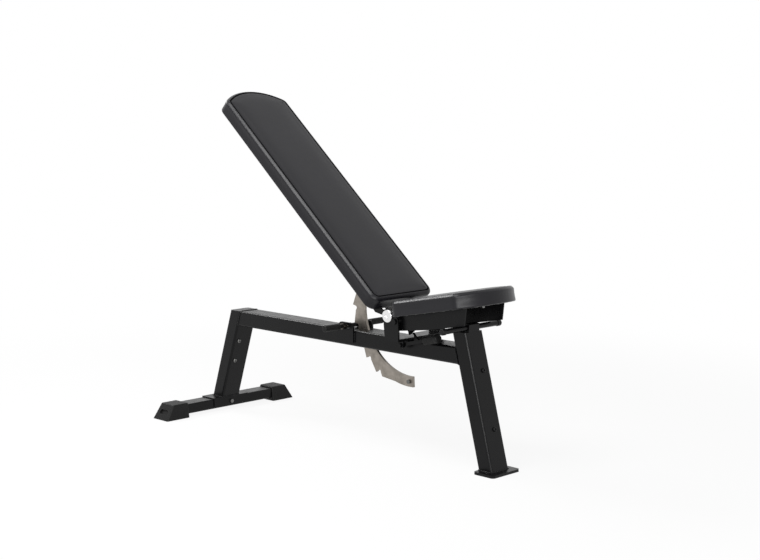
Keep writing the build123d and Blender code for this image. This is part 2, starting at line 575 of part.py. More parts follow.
def backrest():
    """Backrest about the hinge: pad, board, tube, plates, hinge arms, sleeve and rack."""
    raised = Pos(0, 0, HINGE_HEIGHT) * Rot(0, BACK_ANGLE, 0)
    level = {}
    flip = Pos(-BACK_GAP, 0, BOARD_TOP) * Rot(0, 0, 180)
    level["back_pad"] = flip * cushion(BACK_LENGTH, BACK_BOW_RADIUS)

    bolt_y = PLATE_HALF - BOLT_HEAD_DIA * 1.5
    plates = {
        "back_lower_plate": (LOWER_PLATE_START, LOWER_PLATE_LENGTH),
        "back_upper_plate": (UPPER_PLATE_START, UPPER_PLATE_LENGTH),
    }
    places = []
    for name, (start, length) in plates.items():
        row = [(-start - length / 2, side * bolt_y) for side in SIDES.values()]
        places += row
        plate = block(-start - length, -start, -PLATE_HALF, PLATE_HALF, PLATE_BASE, BOARD_BASE)
        level[name] = plate - pad_holes(row, PLATE_BASE)
    level["back_board"] = flip * board(BACK_LENGTH, BACK_BOW_RADIUS) - pad_holes(places, PLATE_BASE)
    level["back_bolts"] = Compound(children=pad_bolts(places, PLATE_BASE))

    middle_z = BACK_TUBE_BASE + BACK_TUBE_DEPTH / 2
    tube_at = Pos(-BACK_TUBE_START, 0, middle_z) * Rot(0, -90, 0)
    section = tube_section(BACK_TUBE_DEPTH, BACK_TUBE_WIDTH, BACK_TUBE_CORNER, BACK_TUBE_WALL)
    level["back_tube"] = tube_at * extrude(section, BACK_TUBE_LENGTH)
    inner_depth = BACK_TUBE_DEPTH - 2 * (BACK_TUBE_WALL + SEAT_FIT)
    inner_width = BACK_TUBE_WIDTH - 2 * (BACK_TUBE_WALL + SEAT_FIT)
    plug = extrude(tube_section(BACK_TUBE_DEPTH, BACK_TUBE_WIDTH, BACK_TUBE_CORNER), -PLUG_HEAD)
    plug += extrude(tube_section(inner_depth, inner_width, BACK_TUBE_WALL), PLUG_DEPTH)
    far_plug = Pos(0, 0, BACK_TUBE_LENGTH) * Rot(180, 0, 0) * plug
    level["back_tube_plugs"] = Compound(children=[tube_at * plug, tube_at * far_plug])

    arm_end = LOWER_PLATE_START + LOWER_PLATE_LENGTH
    shoulder_x = BACK_GAP - RUN_FIT
    arm = Polygon(
        (-arm_end, PLATE_BASE),
        (-arm_end, PLATE_BASE - ARM_DEPTH / 2),
        (-BACK_TUBE_START, PLATE_BASE - ARM_DEPTH),
        polar(ARM_EYE_RADIUS, ARM_UNDER_TURN),
        polar(ARM_EYE_RADIUS, ARM_OVER_TURN),
        (-shoulder_x, PLATE_BASE),
        align=None,
    )
    arm += Circle(ARM_EYE_RADIUS)
    arm -= Circle(SLEEVE_DIA / 2 + SEAT_FIT)
    for name, side in SIDES.items():
        level[f"hinge_arm_{name}"] = upright_plate(arm, *between(ARM_HALF, ARM_THICK, side))
    level["hinge_sleeve"] = tube(SLEEVE_DIA / 2, AXLE_DIA / 2 + RUN_FIT, -SLEEVE_HALF, SLEEVE_HALF)

    outline, bolt_at = rack_outline()
    half = RACK_THICK / 2
    rack = upright_plate(outline, -half, half)
    level["toothed_rack"] = rack - rod(BOLT_DIA / 2 + SEAT_FIT, -RACK_THICK, RACK_THICK, *bolt_at)
    stop = rod(BOLT_DIA / 2, -half, half, *bolt_at)
    for side in SIDES.values():
        stop += hex_bar(BOLT_HEAD_DIA / 2, side * half, side * (half + NUT_THICK), *bolt_at)
    level["rack_stop_bolt"] = stop
    for name, piece in level.items():
        nodes[name] = raised * piece


def latch():
    """Sliding latch rod, drawn back clear of the rack, with its grips, collars, springs and ears."""
    at = Pos(LATCH_OUT_X, 0, LATCH_Z)
    radius = LATCH_DIA / 2
    nodes["latch_rod"] = at * rod(radius, -LATCH_HALF, LATCH_HALF)
    slot_middle = (LATCH_IN_X + LATCH_OUT_X) / 2
    width = LATCH_TRAVEL + 2 * LATCH_EAR_REACH
    ear = Pos(slot_middle, LATCH_Z) * Rectangle(width, 2 * LATCH_EAR_TOP)
    ear = fillet(ear.vertices().sort_by(Axis.Y)[-2:], LATCH_EAR_TOP - RUN_FIT)
    foot_z = BEAM_TOP - LATCH_EAR_DROP
    ear += Pos(slot_middle, (foot_z + LATCH_Z) / 2) * Rectangle(width, LATCH_Z - foot_z)
    ear -= Pos(slot_middle, LATCH_Z) * SlotCenterToCenter(LATCH_TRAVEL, LATCH_DIA + 2 * RUN_FIT)
    ear_inner = TUBE_WIDTH / 2
    ear_outer = ear_inner + LATCH_EAR_THICK
    collars, springs, gaps = [], [], []
    for name, side in SIDES.items():
        nodes[f"latch_ear_{name}"] = upright_plate(ear, *between(ear_inner, LATCH_EAR_THICK, side))
        grip_start, grip_end = LATCH_HALF - GRIP_LENGTH, LATCH_HALF + GRIP_END
        grip = rod(GRIP_DIA / 2, side * grip_start, side * grip_end)
        grip = fillet(grip.edges().sort_by(Axis.Y)[-1 if side > 0 else 0], GRIP_END)
        grip -= rod(radius + SEAT_FIT, side * grip_start, side * LATCH_HALF)
        nodes[f"latch_grip_{name}"] = at * grip
        collar_start = ear_outer + RUN_FIT
        collar_end = collar_start + COLLAR_LENGTH
        collars.append(at * tube(COLLAR_DIA / 2, radius + SEAT_FIT, side * collar_start, side * collar_end))
        coil_radius = radius + SPRING_ROOM + SPRING_WIRE / 2
        coil_start = ear_inner - RUN_FIT - SPRING_WIRE / 2 - SPRING_TURNS * SPRING_PITCH
        spring, gap = coil(coil_radius, SPRING_WIRE, SPRING_PITCH, SPRING_TURNS, coil_start, side)
        springs.append(at * spring)
        gaps.append(gap)
    nodes["latch_collars"] = Compound(children=collars)
    nodes["latch_springs"] = Compound(children=springs)
    print("least gap between the springs' turns", round(min(gaps), 2))


def lever_nose():
    """Nose's tip at rest and, with the lever lifted, its tip about the seat's pivot."""
    reach = polar(SECTOR_RADIUS + NOSE_CLEARANCE, NOSE_TURN)
    tip = (SEAT_PIVOT[0] + reach[0], SEAT_PIVOT[1] + reach[1])
    arm = turned((tip[0] - LEVER_PIVOT[0], tip[1] - LEVER_PIVOT[1]), LEVER_ENGAGE)
    lifted = (LEVER_PIVOT[0] + arm[0] - SEAT_PIVOT[0], LEVER_PIVOT[1] + arm[1] - SEAT_PIVOT[1])
    return tip, lifted


def seat_sector():
    """Notched sector under the seat, drawn level about the seat's pivot."""
    lifted = lever_nose()[1]
    first = math.degrees(math.atan2(lifted[1], lifted[0])) - SEAT_TILT
    last = first - SEAT_STEP * SEAT_STEPS
    ends = (last - SECTOR_MARGIN, first + SECTOR_MARGIN)
    cross_z = SEAT_BOARD_LIFT - PLATE_THICK
    low, high = polar(SECTOR_RADIUS, ends[0]), polar(SECTOR_RADIUS, ends[1])
    rim = Line(low, polar(SECTOR_RADIUS / 2, ends[0]))
    rim += Line(polar(SECTOR_RADIUS / 2, ends[0]), (REAR_CROSS_START, cross_z))
    rim += Line((REAR_CROSS_START, cross_z), (REAR_CROSS_START + CROSS_LENGTH, cross_z))
    rim += Line((REAR_CROSS_START + CROSS_LENGTH, cross_z), high)
    rim += ThreePointArc(high, polar(SECTOR_RADIUS, sum(ends) / 2), low)
    sector = make_face(rim)
    half = NOSE_WIDTH / 2 + SECTOR_NOTCH_ROOM
    length = 2 * SECTOR_NOTCH_DEPTH
    spread = half + length * math.tan(math.radians(SECTOR_NOTCH_FLARE))
    notch = Polygon((0, half), (0, -half), (length, -spread), (length, spread), align=None)
    for step in range(SEAT_STEPS + 1):
        turn = first - step * SEAT_STEP
        sector -= Pos(*polar(SECTOR_RADIUS - SECTOR_NOTCH_DEPTH, turn)) * Rot(0, 0, turn) * notch
    return upright_plate(sector, LEVER_Y - LEVER_THICK / 2, LEVER_Y + LEVER_THICK / 2)


def seat():
    """Seat about its pivot: pad, board, side plates, cross plates, bolts and sector."""
    level = {}
    pad_at = Pos(SEAT_SETBACK, 0, SEAT_BOARD_LIFT + BOARD_THICK)
    level["seat_pad"] = pad_at * cushion(SEAT_LENGTH, SEAT_BOW_RADIUS)
    cross_z = SEAT_BOARD_LIFT - PLATE_THICK
    bolt_y = SEAT_PLATE_HALF - BOLT_HEAD_DIA
    places = []
    for name, start in (("seat_rear_cross", REAR_CROSS_START), ("seat_front_cross", FRONT_CROSS_START)):
        row = [(start + CROSS_LENGTH / 2, side * bolt_y) for side in SIDES.values()]
        places += row
        end = start + CROSS_LENGTH
        cross = block(start, end, -SEAT_PLATE_HALF, SEAT_PLATE_HALF, cross_z, SEAT_BOARD_LIFT)
        level[name] = cross - pad_holes(row, cross_z)
    level["seat_board"] = pad_at * board(SEAT_LENGTH, SEAT_BOW_RADIUS) - pad_holes(places, cross_z)
    level["seat_bolts"] = Compound(children=pad_bolts(places, cross_z))

    rest = turned((REST_BAR_AHEAD - SEAT_PIVOT[0], REST_BAR_Z - SEAT_PIVOT[1]), -SEAT_TILT)
    sole = rest[1] + REST_BAR_DIA / 2 + RUN_FIT
    plate = Polygon(
        (-SEAT_PLATE_HEEL_LENGTH, -SEAT_PLATE_HEEL_DEPTH),
        (SEAT_PLATE_WAIST_LENGTH, sole),
        (SEAT_PLATE_REACH - SEAT_PLATE_RAKE_LENGTH, sole),
        (SEAT_PLATE_REACH, SEAT_BOARD_LIFT),
        (SEAT_SETBACK, SEAT_BOARD_LIFT),
        polar(SEAT_PLATE_EYE_RADIUS, SEAT_PLATE_NECK_TURN),
        (-SEAT_PLATE_EYE_RADIUS, 0),
        align=None,
    )
    plate += Circle(SEAT_PLATE_EYE_RADIUS)
    plate -= Circle(PIVOT_BOLT_DIA / 2 + RUN_FIT)
    for name, side in SIDES.items():
        level[f"seat_plate_{name}"] = upright_plate(plate, *between(SEAT_PLATE_HALF, PLATE_THICK, side))
    level["seat_sector"] = seat_sector()
    tilted = Pos(SEAT_PIVOT[0], 0, SEAT_PIVOT[1]) * Rot(0, -SEAT_TILT, 0)
    for name, piece in level.items():
        nodes[name] = tilted * piece


def rest_bar():
    """Bar across the post's top that the seat's side plates lie on."""
    radius = REST_BAR_DIA / 2
    at = (REST_BAR_AHEAD, REST_BAR_Z)
    nodes["seat_rest_bar"] = rod(radius, -REST_BAR_HALF, REST_BAR_HALF, *at)
    half = radius + SEAT_FIT + REST_BLOCK_WALL
    holder = block(at[0] - half, at[0] + half, -REST_BLOCK_HALF, REST_BLOCK_HALF, at[1] - half, at[1] + half)
    holder = fillet(holder.edges().filter_by(Axis.Y).group_by(Axis.Z)[-1], REST_BLOCK_WALL)
    nodes["rest_bar_block"] = holder - rod(radius + SEAT_FIT, -REST_BAR_HALF, REST_BAR_HALF, *at)
    plugs = []
    for side in SIDES.values():
        outer = REST_BAR_HALF + REST_PLUG_END
        plug = rod(REST_PLUG_DIA / 2, side * (outer - REST_PLUG_LENGTH), side * outer, *at)
        plug = fillet(plug.edges().sort_by(Axis.Y)[-1 if side > 0 else 0], REST_PLUG_END - RUN_FIT)
        plugs.append(plug - rod(radius + SEAT_FIT, 0, side * REST_BAR_HALF, *at))
    nodes["rest_bar_plugs"] = Compound(children=plugs)


def seat_lever():
    """Lever beside the beam whose nose holds the seat's sector, with its grip, lug and bolt."""
    at = LEVER_PIVOT
    y0, y1 = LEVER_Y - LEVER_THICK / 2, LEVER_Y + LEVER_THICK / 2
    half = LEVER_WIDTH / 2
    blade = Pos(LEVER_REACH / 2, 0) * Rectangle(LEVER_REACH, LEVER_WIDTH) + Circle(LEVER_EYE_RADIUS)
    tip = lever_nose()[0]
    local_tip = turned((tip[0] - at[0], tip[1] - at[1]), -LEVER_RISE)
    nose_turn = NOSE_TURN - LEVER_RISE
    across = polar(NOSE_WIDTH / 2, nose_turn + 90)
    down = polar(NOSE_LENGTH, nose_turn)
    neck = (local_tip[0] + down[0], local_tip[1] + down[1])
    blade += Polygon(
        (local_tip[0] + across[0], local_tip[1] + across[1]),
        (local_tip[0] - across[0], local_tip[1] - across[1]),
        (neck[0] - across[0], neck[1] - across[1]),
        (local_tip[0], half / 2),
        (local_tip[0] + 2 * NOSE_FOOT_WIDTH, half / 2),
        (neck[0] + across[0], neck[1] + across[1]),
        align=None,
    )
    blade -= Circle(LEVER_BOLT_DIA / 2 + RUN_FIT)
    lever = upright_plate(blade, y0, y1)
    tang_end = LEVER_REACH + LEVER_GRIP_LENGTH - LEVER_GRIP_EDGE * 2
    along = Pos(LEVER_REACH, LEVER_Y, 0) * Rot(0, 90, 0)
    lever += along * extrude(Circle(LEVER_TANG_DIA / 2), tang_end - LEVER_REACH)
    grip = extrude(Circle(LEVER_GRIP_DIA / 2), LEVER_GRIP_LENGTH)
    grip = fillet(grip.edges().filter_by(GeomType.CIRCLE), LEVER_GRIP_EDGE)
    grip -= extrude(Circle(LEVER_TANG_DIA / 2 + SEAT_FIT), tang_end - LEVER_REACH + SEAT_FIT)
    place = Pos(at[0], 0, at[1]) * Rot(0, -LEVER_RISE, 0)
    nodes["seat_lever"] = place * lever
    nodes["lever_grip"] = place * along * grip

    lug = Pos(at[0], (at[1] + BEAM_TOP) / 2) * Rectangle(LUG_WIDTH, BEAM_TOP - at[1])
    lug += Pos(*at) * Circle(LUG_WIDTH / 2)
    lug -= Pos(*at) * Circle(LEVER_BOLT_DIA / 2 + SEAT_FIT)
    lug_inner = y0 - RUN_FIT
    lug_outer = lug_inner - LUG_THICK
    nodes["lever_lug"] = upright_plate(lug, lug_outer, lug_inner)
    nut_end = y1 + RUN_FIT + NUT_THICK
    bolt = rod(LEVER_BOLT_DIA / 2, lug_outer, nut_end, *at)
    bolt += hex_bar(BOLT_HEAD_DIA / 2, lug_outer - BOLT_HEAD_THICK, lug_outer, *at)
    bolt += hex_bar(BOLT_HEAD_DIA / 2, y1 + RUN_FIT, nut_end, *at)
    nodes["lever_pivot_bolt"] = bolt


front_frame()
main_beam()
rear_frame()
hinge_yoke()
rest_bar()
backrest()
latch()
seat()
seat_lever()

boxes = [piece.bounding_box() for piece in nodes.values()]
middle = (min(box.min.X for box in boxes) + max(box.max.X for box in boxes)) / 2
axes = {
    "back hinge": (0.0, HINGE_HEIGHT),
    "seat pivot": SEAT_PIVOT,
    "lever pivot": LEVER_PIVOT,
    "latch rod": (LATCH_OUT_X, LATCH_Z),
    "front foot": (boxes[list(nodes).index("front_foot_pad")].center().X, 0.0),
    "rear feet": (BAR_X, 0.0),
}
for name, (x, z) in axes.items():
    print(name, "at X", round(x - middle, 3), "Z", round(z, 3))

os.makedirs("parts", exist_ok=True)
for name, piece in nodes.items():
    export_step(Pos(-middle, 0, 0) * piece, f"parts/{name}.step")
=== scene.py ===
import json
import logging
import math
from dataclasses import dataclass, field
from enum import Enum
from typing import Iterable, Sequence

import bmesh
import bpy
import numpy as np
from mathutils import Matrix, Vector


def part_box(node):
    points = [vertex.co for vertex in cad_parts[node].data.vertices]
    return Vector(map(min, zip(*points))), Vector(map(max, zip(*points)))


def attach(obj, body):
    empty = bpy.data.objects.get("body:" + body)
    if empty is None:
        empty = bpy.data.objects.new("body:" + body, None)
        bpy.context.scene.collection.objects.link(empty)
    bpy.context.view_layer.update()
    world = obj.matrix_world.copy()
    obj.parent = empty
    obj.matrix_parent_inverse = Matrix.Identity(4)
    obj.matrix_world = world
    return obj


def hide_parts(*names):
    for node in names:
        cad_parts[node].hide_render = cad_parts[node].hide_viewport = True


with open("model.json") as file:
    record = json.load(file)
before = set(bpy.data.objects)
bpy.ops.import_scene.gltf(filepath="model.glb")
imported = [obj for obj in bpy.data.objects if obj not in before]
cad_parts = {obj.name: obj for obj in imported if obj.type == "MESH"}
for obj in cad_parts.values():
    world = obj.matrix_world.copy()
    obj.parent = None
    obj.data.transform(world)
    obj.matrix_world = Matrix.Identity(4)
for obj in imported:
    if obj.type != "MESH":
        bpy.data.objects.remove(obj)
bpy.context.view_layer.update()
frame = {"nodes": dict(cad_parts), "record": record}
LOG = logging.getLogger("weight_bench")

# Places of the bench's axes in the shared frame, in metres
HINGE = Vector((0.272691, 0.0, 0.423))
SEAT_PIVOT = Vector((0.298691, 0.0, 0.409))
LEVER_PIVOT = Vector((0.286691, 0.0, 0.334))
BACK_RAISE = math.radians(40.5)
SEAT_TILT = math.radians(11.0)
LEVER_RISE = math.radians(14.0)

# Where the pads' and the lever's grip's own frames start, from those axes
BACK_PAD_AT = Vector((-0.047, 0.0, -0.014))
SEAT_PAD_AT = Vector((0.0095, 0.0, 0.0235))
LEVER_GRIP_AT = Vector((0.094, -0.052, 0.0))

# Frame tube, shared by the welds that run round it
TUBE_WIDTH = 0.075
TUBE_DEPTH = 0.050
BEAM_TOP = 0.350

Colour = tuple[float, float, float]
SIDES = {"left": 1, "right": -1}

# Points closer than this are one point
TOUCHING = 0.00001

# Part of the noise's range that the finishes use
NOISE_SPAN = (0.3, 0.7)


class Body(str, Enum):
    """Bodies that the pieces ride on."""

    FRAME = "frame"
    BACKREST = "backrest"
    LATCH = "latch"
    SEAT = "seat"
    LEVER = "lever"


class Slot(str, Enum):
    """Material slots of the record."""

    FRAME_BLACK = "frame_black"
    BOLT_BLACK = "bolt_black"
    VINYL = "vinyl_black"
    BOARD = "board_ply"
    ZINC = "zinc_bolts"
    RACK = "rack_nickel"
    CHROME = "cap_chrome"
    SPRING = "spring_steel"
    RUBBER = "rubber_black"
    PLASTIC = "plastic_black"


class Axis(Enum):
    """Axes that a streaked finish can run along."""

    X = (0.06, 1.0, 1.0)
    Y = (1.0, 0.06, 1.0)
    Z = (1.0, 1.0, 0.06)


class NodeBoard:
    """Lays out the nodes of one procedural material."""

    def __init__(self, name: str) -> None:
        """Starts a material with a principled shader.

        Args:
            name: The material's name.
        """
        self.material = bpy.data.materials.new(name)
        self.material.use_nodes = True
        self.tree = self.material.node_tree
        self.shader = self.tree.nodes["Principled BSDF"]
        self.place = self.add("ShaderNodeTexCoord").outputs["Object"]

    def add(self, kind: str, **inputs: object) -> bpy.types.ShaderNode:
        """Adds a node and sets its inputs by name.

        Args:
            kind: The node's type name.
            **inputs: Input values, with spaces in their names as underscores.

        Returns:
            The new node.
        """
        node = self.tree.nodes.new(kind)
        for name, value in inputs.items():
            node.inputs[name.replace("_", " ")].default_value = value
        return node

    def link(self, source: bpy.types.NodeSocket, target: bpy.types.NodeSocket) -> None:
        """Joins an output to an input.

        Args:
            source: The output.
            target: The input.
        """
        self.tree.links.new(source, target)

    def stretched(self, stretch: Sequence[float]) -> bpy.types.NodeSocket:
        """Object coordinates scaled per axis.

        Args:
            stretch: Scale along X, Y and Z.

        Returns:
            The mapped coordinates.
        """
        mapping = self.add("ShaderNodeMapping", Scale=tuple(stretch))
        self.link(self.place, mapping.inputs["Vector"])
        return mapping.outputs["Vector"]

    def noise(self, scale: float, detail: float = 3.0,
              place: bpy.types.NodeSocket | None = None) -> bpy.types.NodeSocket:
        """Noise over the surface.

        Args:
            scale: Waves per metre.
            detail: Octaves of finer noise.
            place: Coordinates, or None for the object's own.

        Returns:
            The noise's value.
        """
        node = self.add("ShaderNodeTexNoise", Scale=scale, Detail=detail)
        self.link(place or self.place, node.inputs["Vector"])
        return node.outputs["Fac"]

    def cells(self, scale: float, smooth: float) -> bpy.types.NodeSocket:
        """Rounded cells, as in pressed grain.

        Args:
            scale: Cells per metre.
            smooth: How far the cells run into each other.

        Returns:
            The distance from each cell's middle.
        """
        node = self.tree.nodes.new("ShaderNodeTexVoronoi")
        node.feature = "SMOOTH_F1"
        for name, value in (("Scale", scale), ("Smoothness", smooth)):
            node.inputs[name].default_value = value
        self.link(self.place, node.inputs["Vector"])
        return node.outputs["Distance"]

    def spread(self, value: bpy.types.NodeSocket, low: float, high: float) -> bpy.types.NodeSocket:
        """Maps noise about its middle onto a range.

        Args:
            value: A value between 0 and 1.
            low: Result at the low end.
            high: Result at the high end.

        Returns:
            The mapped value.
        """
        start, end = NOISE_SPAN
        node = self.add("ShaderNodeMapRange", From_Min=start, From_Max=end, To_Min=low, To_Max=high)
        self.link(value, node.inputs["Value"])
        return node.outputs["Result"]

    def tint(self, value: bpy.types.NodeSocket, dark: Colour,
             light: Colour) -> bpy.types.NodeSocket:
        """Colour between two tints.

        Args:
            value: A value between 0 and 1.
            dark: Colour at the low end.
            light: Colour at the high end.

        Returns:
            The colour.
        """
        node = self.tree.nodes.new("ShaderNodeValToRGB")
        ends = node.color_ramp.elements
        ends[0].position, ends[1].position = NOISE_SPAN
        ends[0].color, ends[1].color = (*dark, 1.0), (*light, 1.0)
        self.link(value, node.inputs["Fac"])
        return node.outputs["Color"]

    def raise_grain(self, *layers: tuple[bpy.types.NodeSocket, float]) -> None:
        """Stacks bumps on the shader's normal.

        Args:
            *layers: Pairs of a height and its depth in metres.
        """
        normal = None
        for height, depth in layers:
            bump = self.add("ShaderNodeBump", Distance=depth)
            self.link(height, bump.inputs["Height"])
            if normal is not None:
                self.link(normal, bump.inputs["Normal"])
            normal = bump.outputs["Normal"]
        self.link(normal, self.shader.inputs["Normal"])

    def colour(self, socket: bpy.types.NodeSocket) -> None:
        """Gives the shader its base colour.

        Args:
            socket: The colour.
        """
        self.link(socket, self.shader.inputs["Base Color"])

    def gloss(self, socket: bpy.types.NodeSocket) -> None:
        """Gives the shader its roughness.

        Args:
            socket: The roughness.
        """
        self.link(socket, self.shader.inputs["Roughness"])

    def flat(self, **values: float) -> None:
        """Sets shader inputs that are the same all over.

        Args:
            **values: Input values, with spaces in their names as underscores.
        """
        for name, value in values.items():
            self.shader.inputs[name.replace("_", " ")].default_value = value


def shaded(colour: Colour, share: float) -> Colour:
    """A colour made lighter or darker.

    Args:
        colour: The colour.
        share: What each of its parts is multiplied by.

    Returns:
        The new colour, with no part above 1.
    """
    return tuple(min(1.0, part * share) for part in colour)


@dataclass(frozen=True)
class PowderCoat:
    """Satin black powder coat with a fine orange-peel texture."""

    name: str
    tone: Colour
    rough: float
    shine: float = 0.165
    mottle: float = 14.0
    mottle_share: tuple[float, float] = (0.85, 1.15)
    patch: float = 60.0
    patch_spread: float = 0.06
    peel: float = 700.0
    peel_depth: float = 0.00006
    wave: float = 90.0
    wave_depth: float = 0.00010

    def material(self) -> bpy.types.Material:
        """Builds the material.

        Returns:
            The material.
        """
        board = NodeBoard(self.name)
        board.flat(Specular_IOR_Level=self.shine)
        dark, light = (shaded(self.tone, share) for share in self.mottle_share)
        board.colour(board.tint(board.noise(self.mottle), dark, light))
        board.gloss(board.spread(board.noise(self.patch, 4.0), self.rough - self.patch_spread,
                                 self.rough + self.patch_spread))
        board.raise_grain((board.noise(self.peel, 2.0), self.peel_depth),
                          (board.noise(self.wave, 2.0), self.wave_depth))
        return board.material


@dataclass(frozen=True)
class GrainedVinyl:
    """Black upholstery vinyl with pressed grain."""

    name: str
    tone: Colour
    rough: float
    shine: float = 0.27
    mottle: float = 9.0
    mottle_share: tuple[float, float] = (0.92, 1.08)
    patch: float = 45.0
    patch_spread: float = 0.02
    grain: float = 620.0
    grain_smooth: float = 0.35
    grain_depth: float = 0.000045
    crease: float = 260.0
    crease_depth: float = 0.00003

    def material(self) -> bpy.types.Material:
        """Builds the material.

        Returns:
            The material.
        """
        board = NodeBoard(self.name)
        board.flat(Specular_IOR_Level=self.shine)
        dark, light = (shaded(self.tone, share) for share in self.mottle_share)
        board.colour(board.tint(board.noise(self.mottle), dark, light))
        board.gloss(board.spread(board.noise(self.patch, 4.0), self.rough - self.patch_spread,
                                 self.rough + self.patch_spread))
        board.raise_grain((board.cells(self.grain, self.grain_smooth), self.grain_depth),
                          (board.noise(self.crease), self.crease_depth))
        return board.material


@dataclass(frozen=True)
class ThreadAndSeamShade:
    """Dull bonded thread, or the near-black painted shade laid on the seam's crease."""

    name: str
    tone: Colour
    rough: float
    shine: float
    twist: float = 2600.0
    twist_share: tuple[float, float] = (0.6, 1.4)
    twist_spread: float = 0.08
    twist_depth: float = 0.00006

    def material(self) -> bpy.types.Material:
        """Builds the material.

        Returns:
            The material.
        """
        board = NodeBoard(self.name)
        board.flat(Specular_IOR_Level=self.shine)
        strand = board.noise(self.twist, 2.0)
        dark, light = (shaded(self.tone, share) for share in self.twist_share)
        board.colour(board.tint(strand, dark, light))
        board.gloss(board.spread(strand, self.rough - self.twist_spread,
                                 self.rough + self.twist_spread))
        board.raise_grain((strand, self.twist_depth))
        return board.material


@dataclass(frozen=True)
class StainedPlywood:
    """Black-stained plywood with its grain along X."""

    name: str
    tone: Colour
    streak: float = 160.0
    streak_share: tuple[float, float] = (0.7, 1.5)
    streak_rough: tuple[float, float] = (0.55, 0.75)
    streak_depth: float = 0.00015

    def material(self) -> bpy.types.Material:
        """Builds the material.

        Returns:
            The material.
        """
        board = NodeBoard(self.name)
        streak = board.noise(self.streak, 5.0, board.stretched(Axis.X.value))
        dark, light = (shaded(self.tone, share) for share in self.streak_share)
        board.colour(board.tint(streak, dark, light))
        board.gloss(board.spread(streak, *self.streak_rough))
        board.raise_grain((streak, self.streak_depth))
        return board.material


@dataclass(frozen=True)
class PlatedSteel:
    """Plated steel with fine streaks and cloudy patches."""

    name: str
    tone: Colour
    rough: float
    along: Axis
    cloud: float = 0.12
    streak: float = 1400.0
    streak_spread: tuple[float, float] = (-0.06, 0.08)
    streak_depth: float = 0.00002
    patch: float = 55.0
    patch_depth: float = 0.00004

    def material(self) -> bpy.types.Material:
        """Builds the material.

        Returns:
            The material.
        """
        board = NodeBoard(self.name)
        board.flat(Metallic=1.0)
        streak = board.noise(self.streak, place=board.stretched(self.along.value))
        patch = board.noise(self.patch, 4.0)
        board.colour(board.tint(patch, shaded(self.tone, 1.0 - self.cloud),
                                shaded(self.tone, 1.0 + self.cloud)))
        low, high = (self.rough + part for part in self.streak_spread)
        board.gloss(board.spread(streak, low, high))
        board.raise_grain((streak, self.streak_depth), (patch, self.patch_depth))
        return board.material


@dataclass(frozen=True)
class MouldedBlack:
    """Black moulded rubber or plastic with a fine spark texture."""

    name: str
    tone: Colour
    rough: float
    shine: float = 0.16
    mottle: float = 20.0
    mottle_share: tuple[float, float] = (0.85, 1.2)
    patch: float = 140.0
    patch_spread: float = 0.06
    spark: float = 1100.0
    spark_depth: float = 0.00005

    def material(self) -> bpy.types.Material:
        """Builds the material.

        Returns:
            The material.
        """
        board = NodeBoard(self.name)
        board.flat(Specular_IOR_Level=self.shine)
        dark, light = (shaded(self.tone, share) for share in self.mottle_share)
        board.colour(board.tint(board.noise(self.mottle), dark, light))
        board.gloss(board.spread(board.noise(self.patch, 4.0), self.rough - self.patch_spread,
                                 self.rough + self.patch_spread))
        board.raise_grain((board.noise(self.spark, 2.0), self.spark_depth))
        return board.material


FINISHES = {
    Slot.FRAME_BLACK: PowderCoat("powder_coat_black", (0.0022, 0.0022, 0.0025), 0.30),
    Slot.BOLT_BLACK: PowderCoat("black_oxide", (0.0036, 0.0036, 0.0038), 0.42),
    Slot.VINYL: GrainedVinyl("grained_vinyl_black", (0.0060, 0.0058, 0.0078), 0.35),
    Slot.BOARD: StainedPlywood("stained_plywood", (0.020, 0.018, 0.017)),
    Slot.ZINC: PlatedSteel("zinc_plate", (0.14, 0.14, 0.136), 0.36, Axis.Y),
    Slot.RACK: PlatedSteel("satin_nickel", (0.275, 0.249, 0.220), 0.40, Axis.Z, 0.20),
    Slot.CHROME: PlatedSteel("bright_chrome", (0.80, 0.80, 0.80), 0.12, Axis.Y, 0.03),
    Slot.SPRING: PlatedSteel("spring_steel", (0.11, 0.10, 0.09), 0.36, Axis.Y),
    Slot.RUBBER: MouldedBlack("moulded_rubber", (0.007, 0.007, 0.007), 0.50),
    Slot.PLASTIC: MouldedBlack("moulded_plastic", (0.008, 0.008, 0.0084), 0.38),
}

# Finishes of the thread and of the painted shade in the seam's crease, which have no slot of their
# own
# Painted shade: a near-black copy of the vinyl laid on the crease behind the rolled edge
SEAM_SHADE_FINISH = ThreadAndSeamShade("painted_seam_shade_vinyl", (0.0022, 0.0022, 0.0024), 0.85, 0.03)
THREAD_FINISH = ThreadAndSeamShade("bonded_thread", (0.0110, 0.0110, 0.0115), 0.60, 0.15)


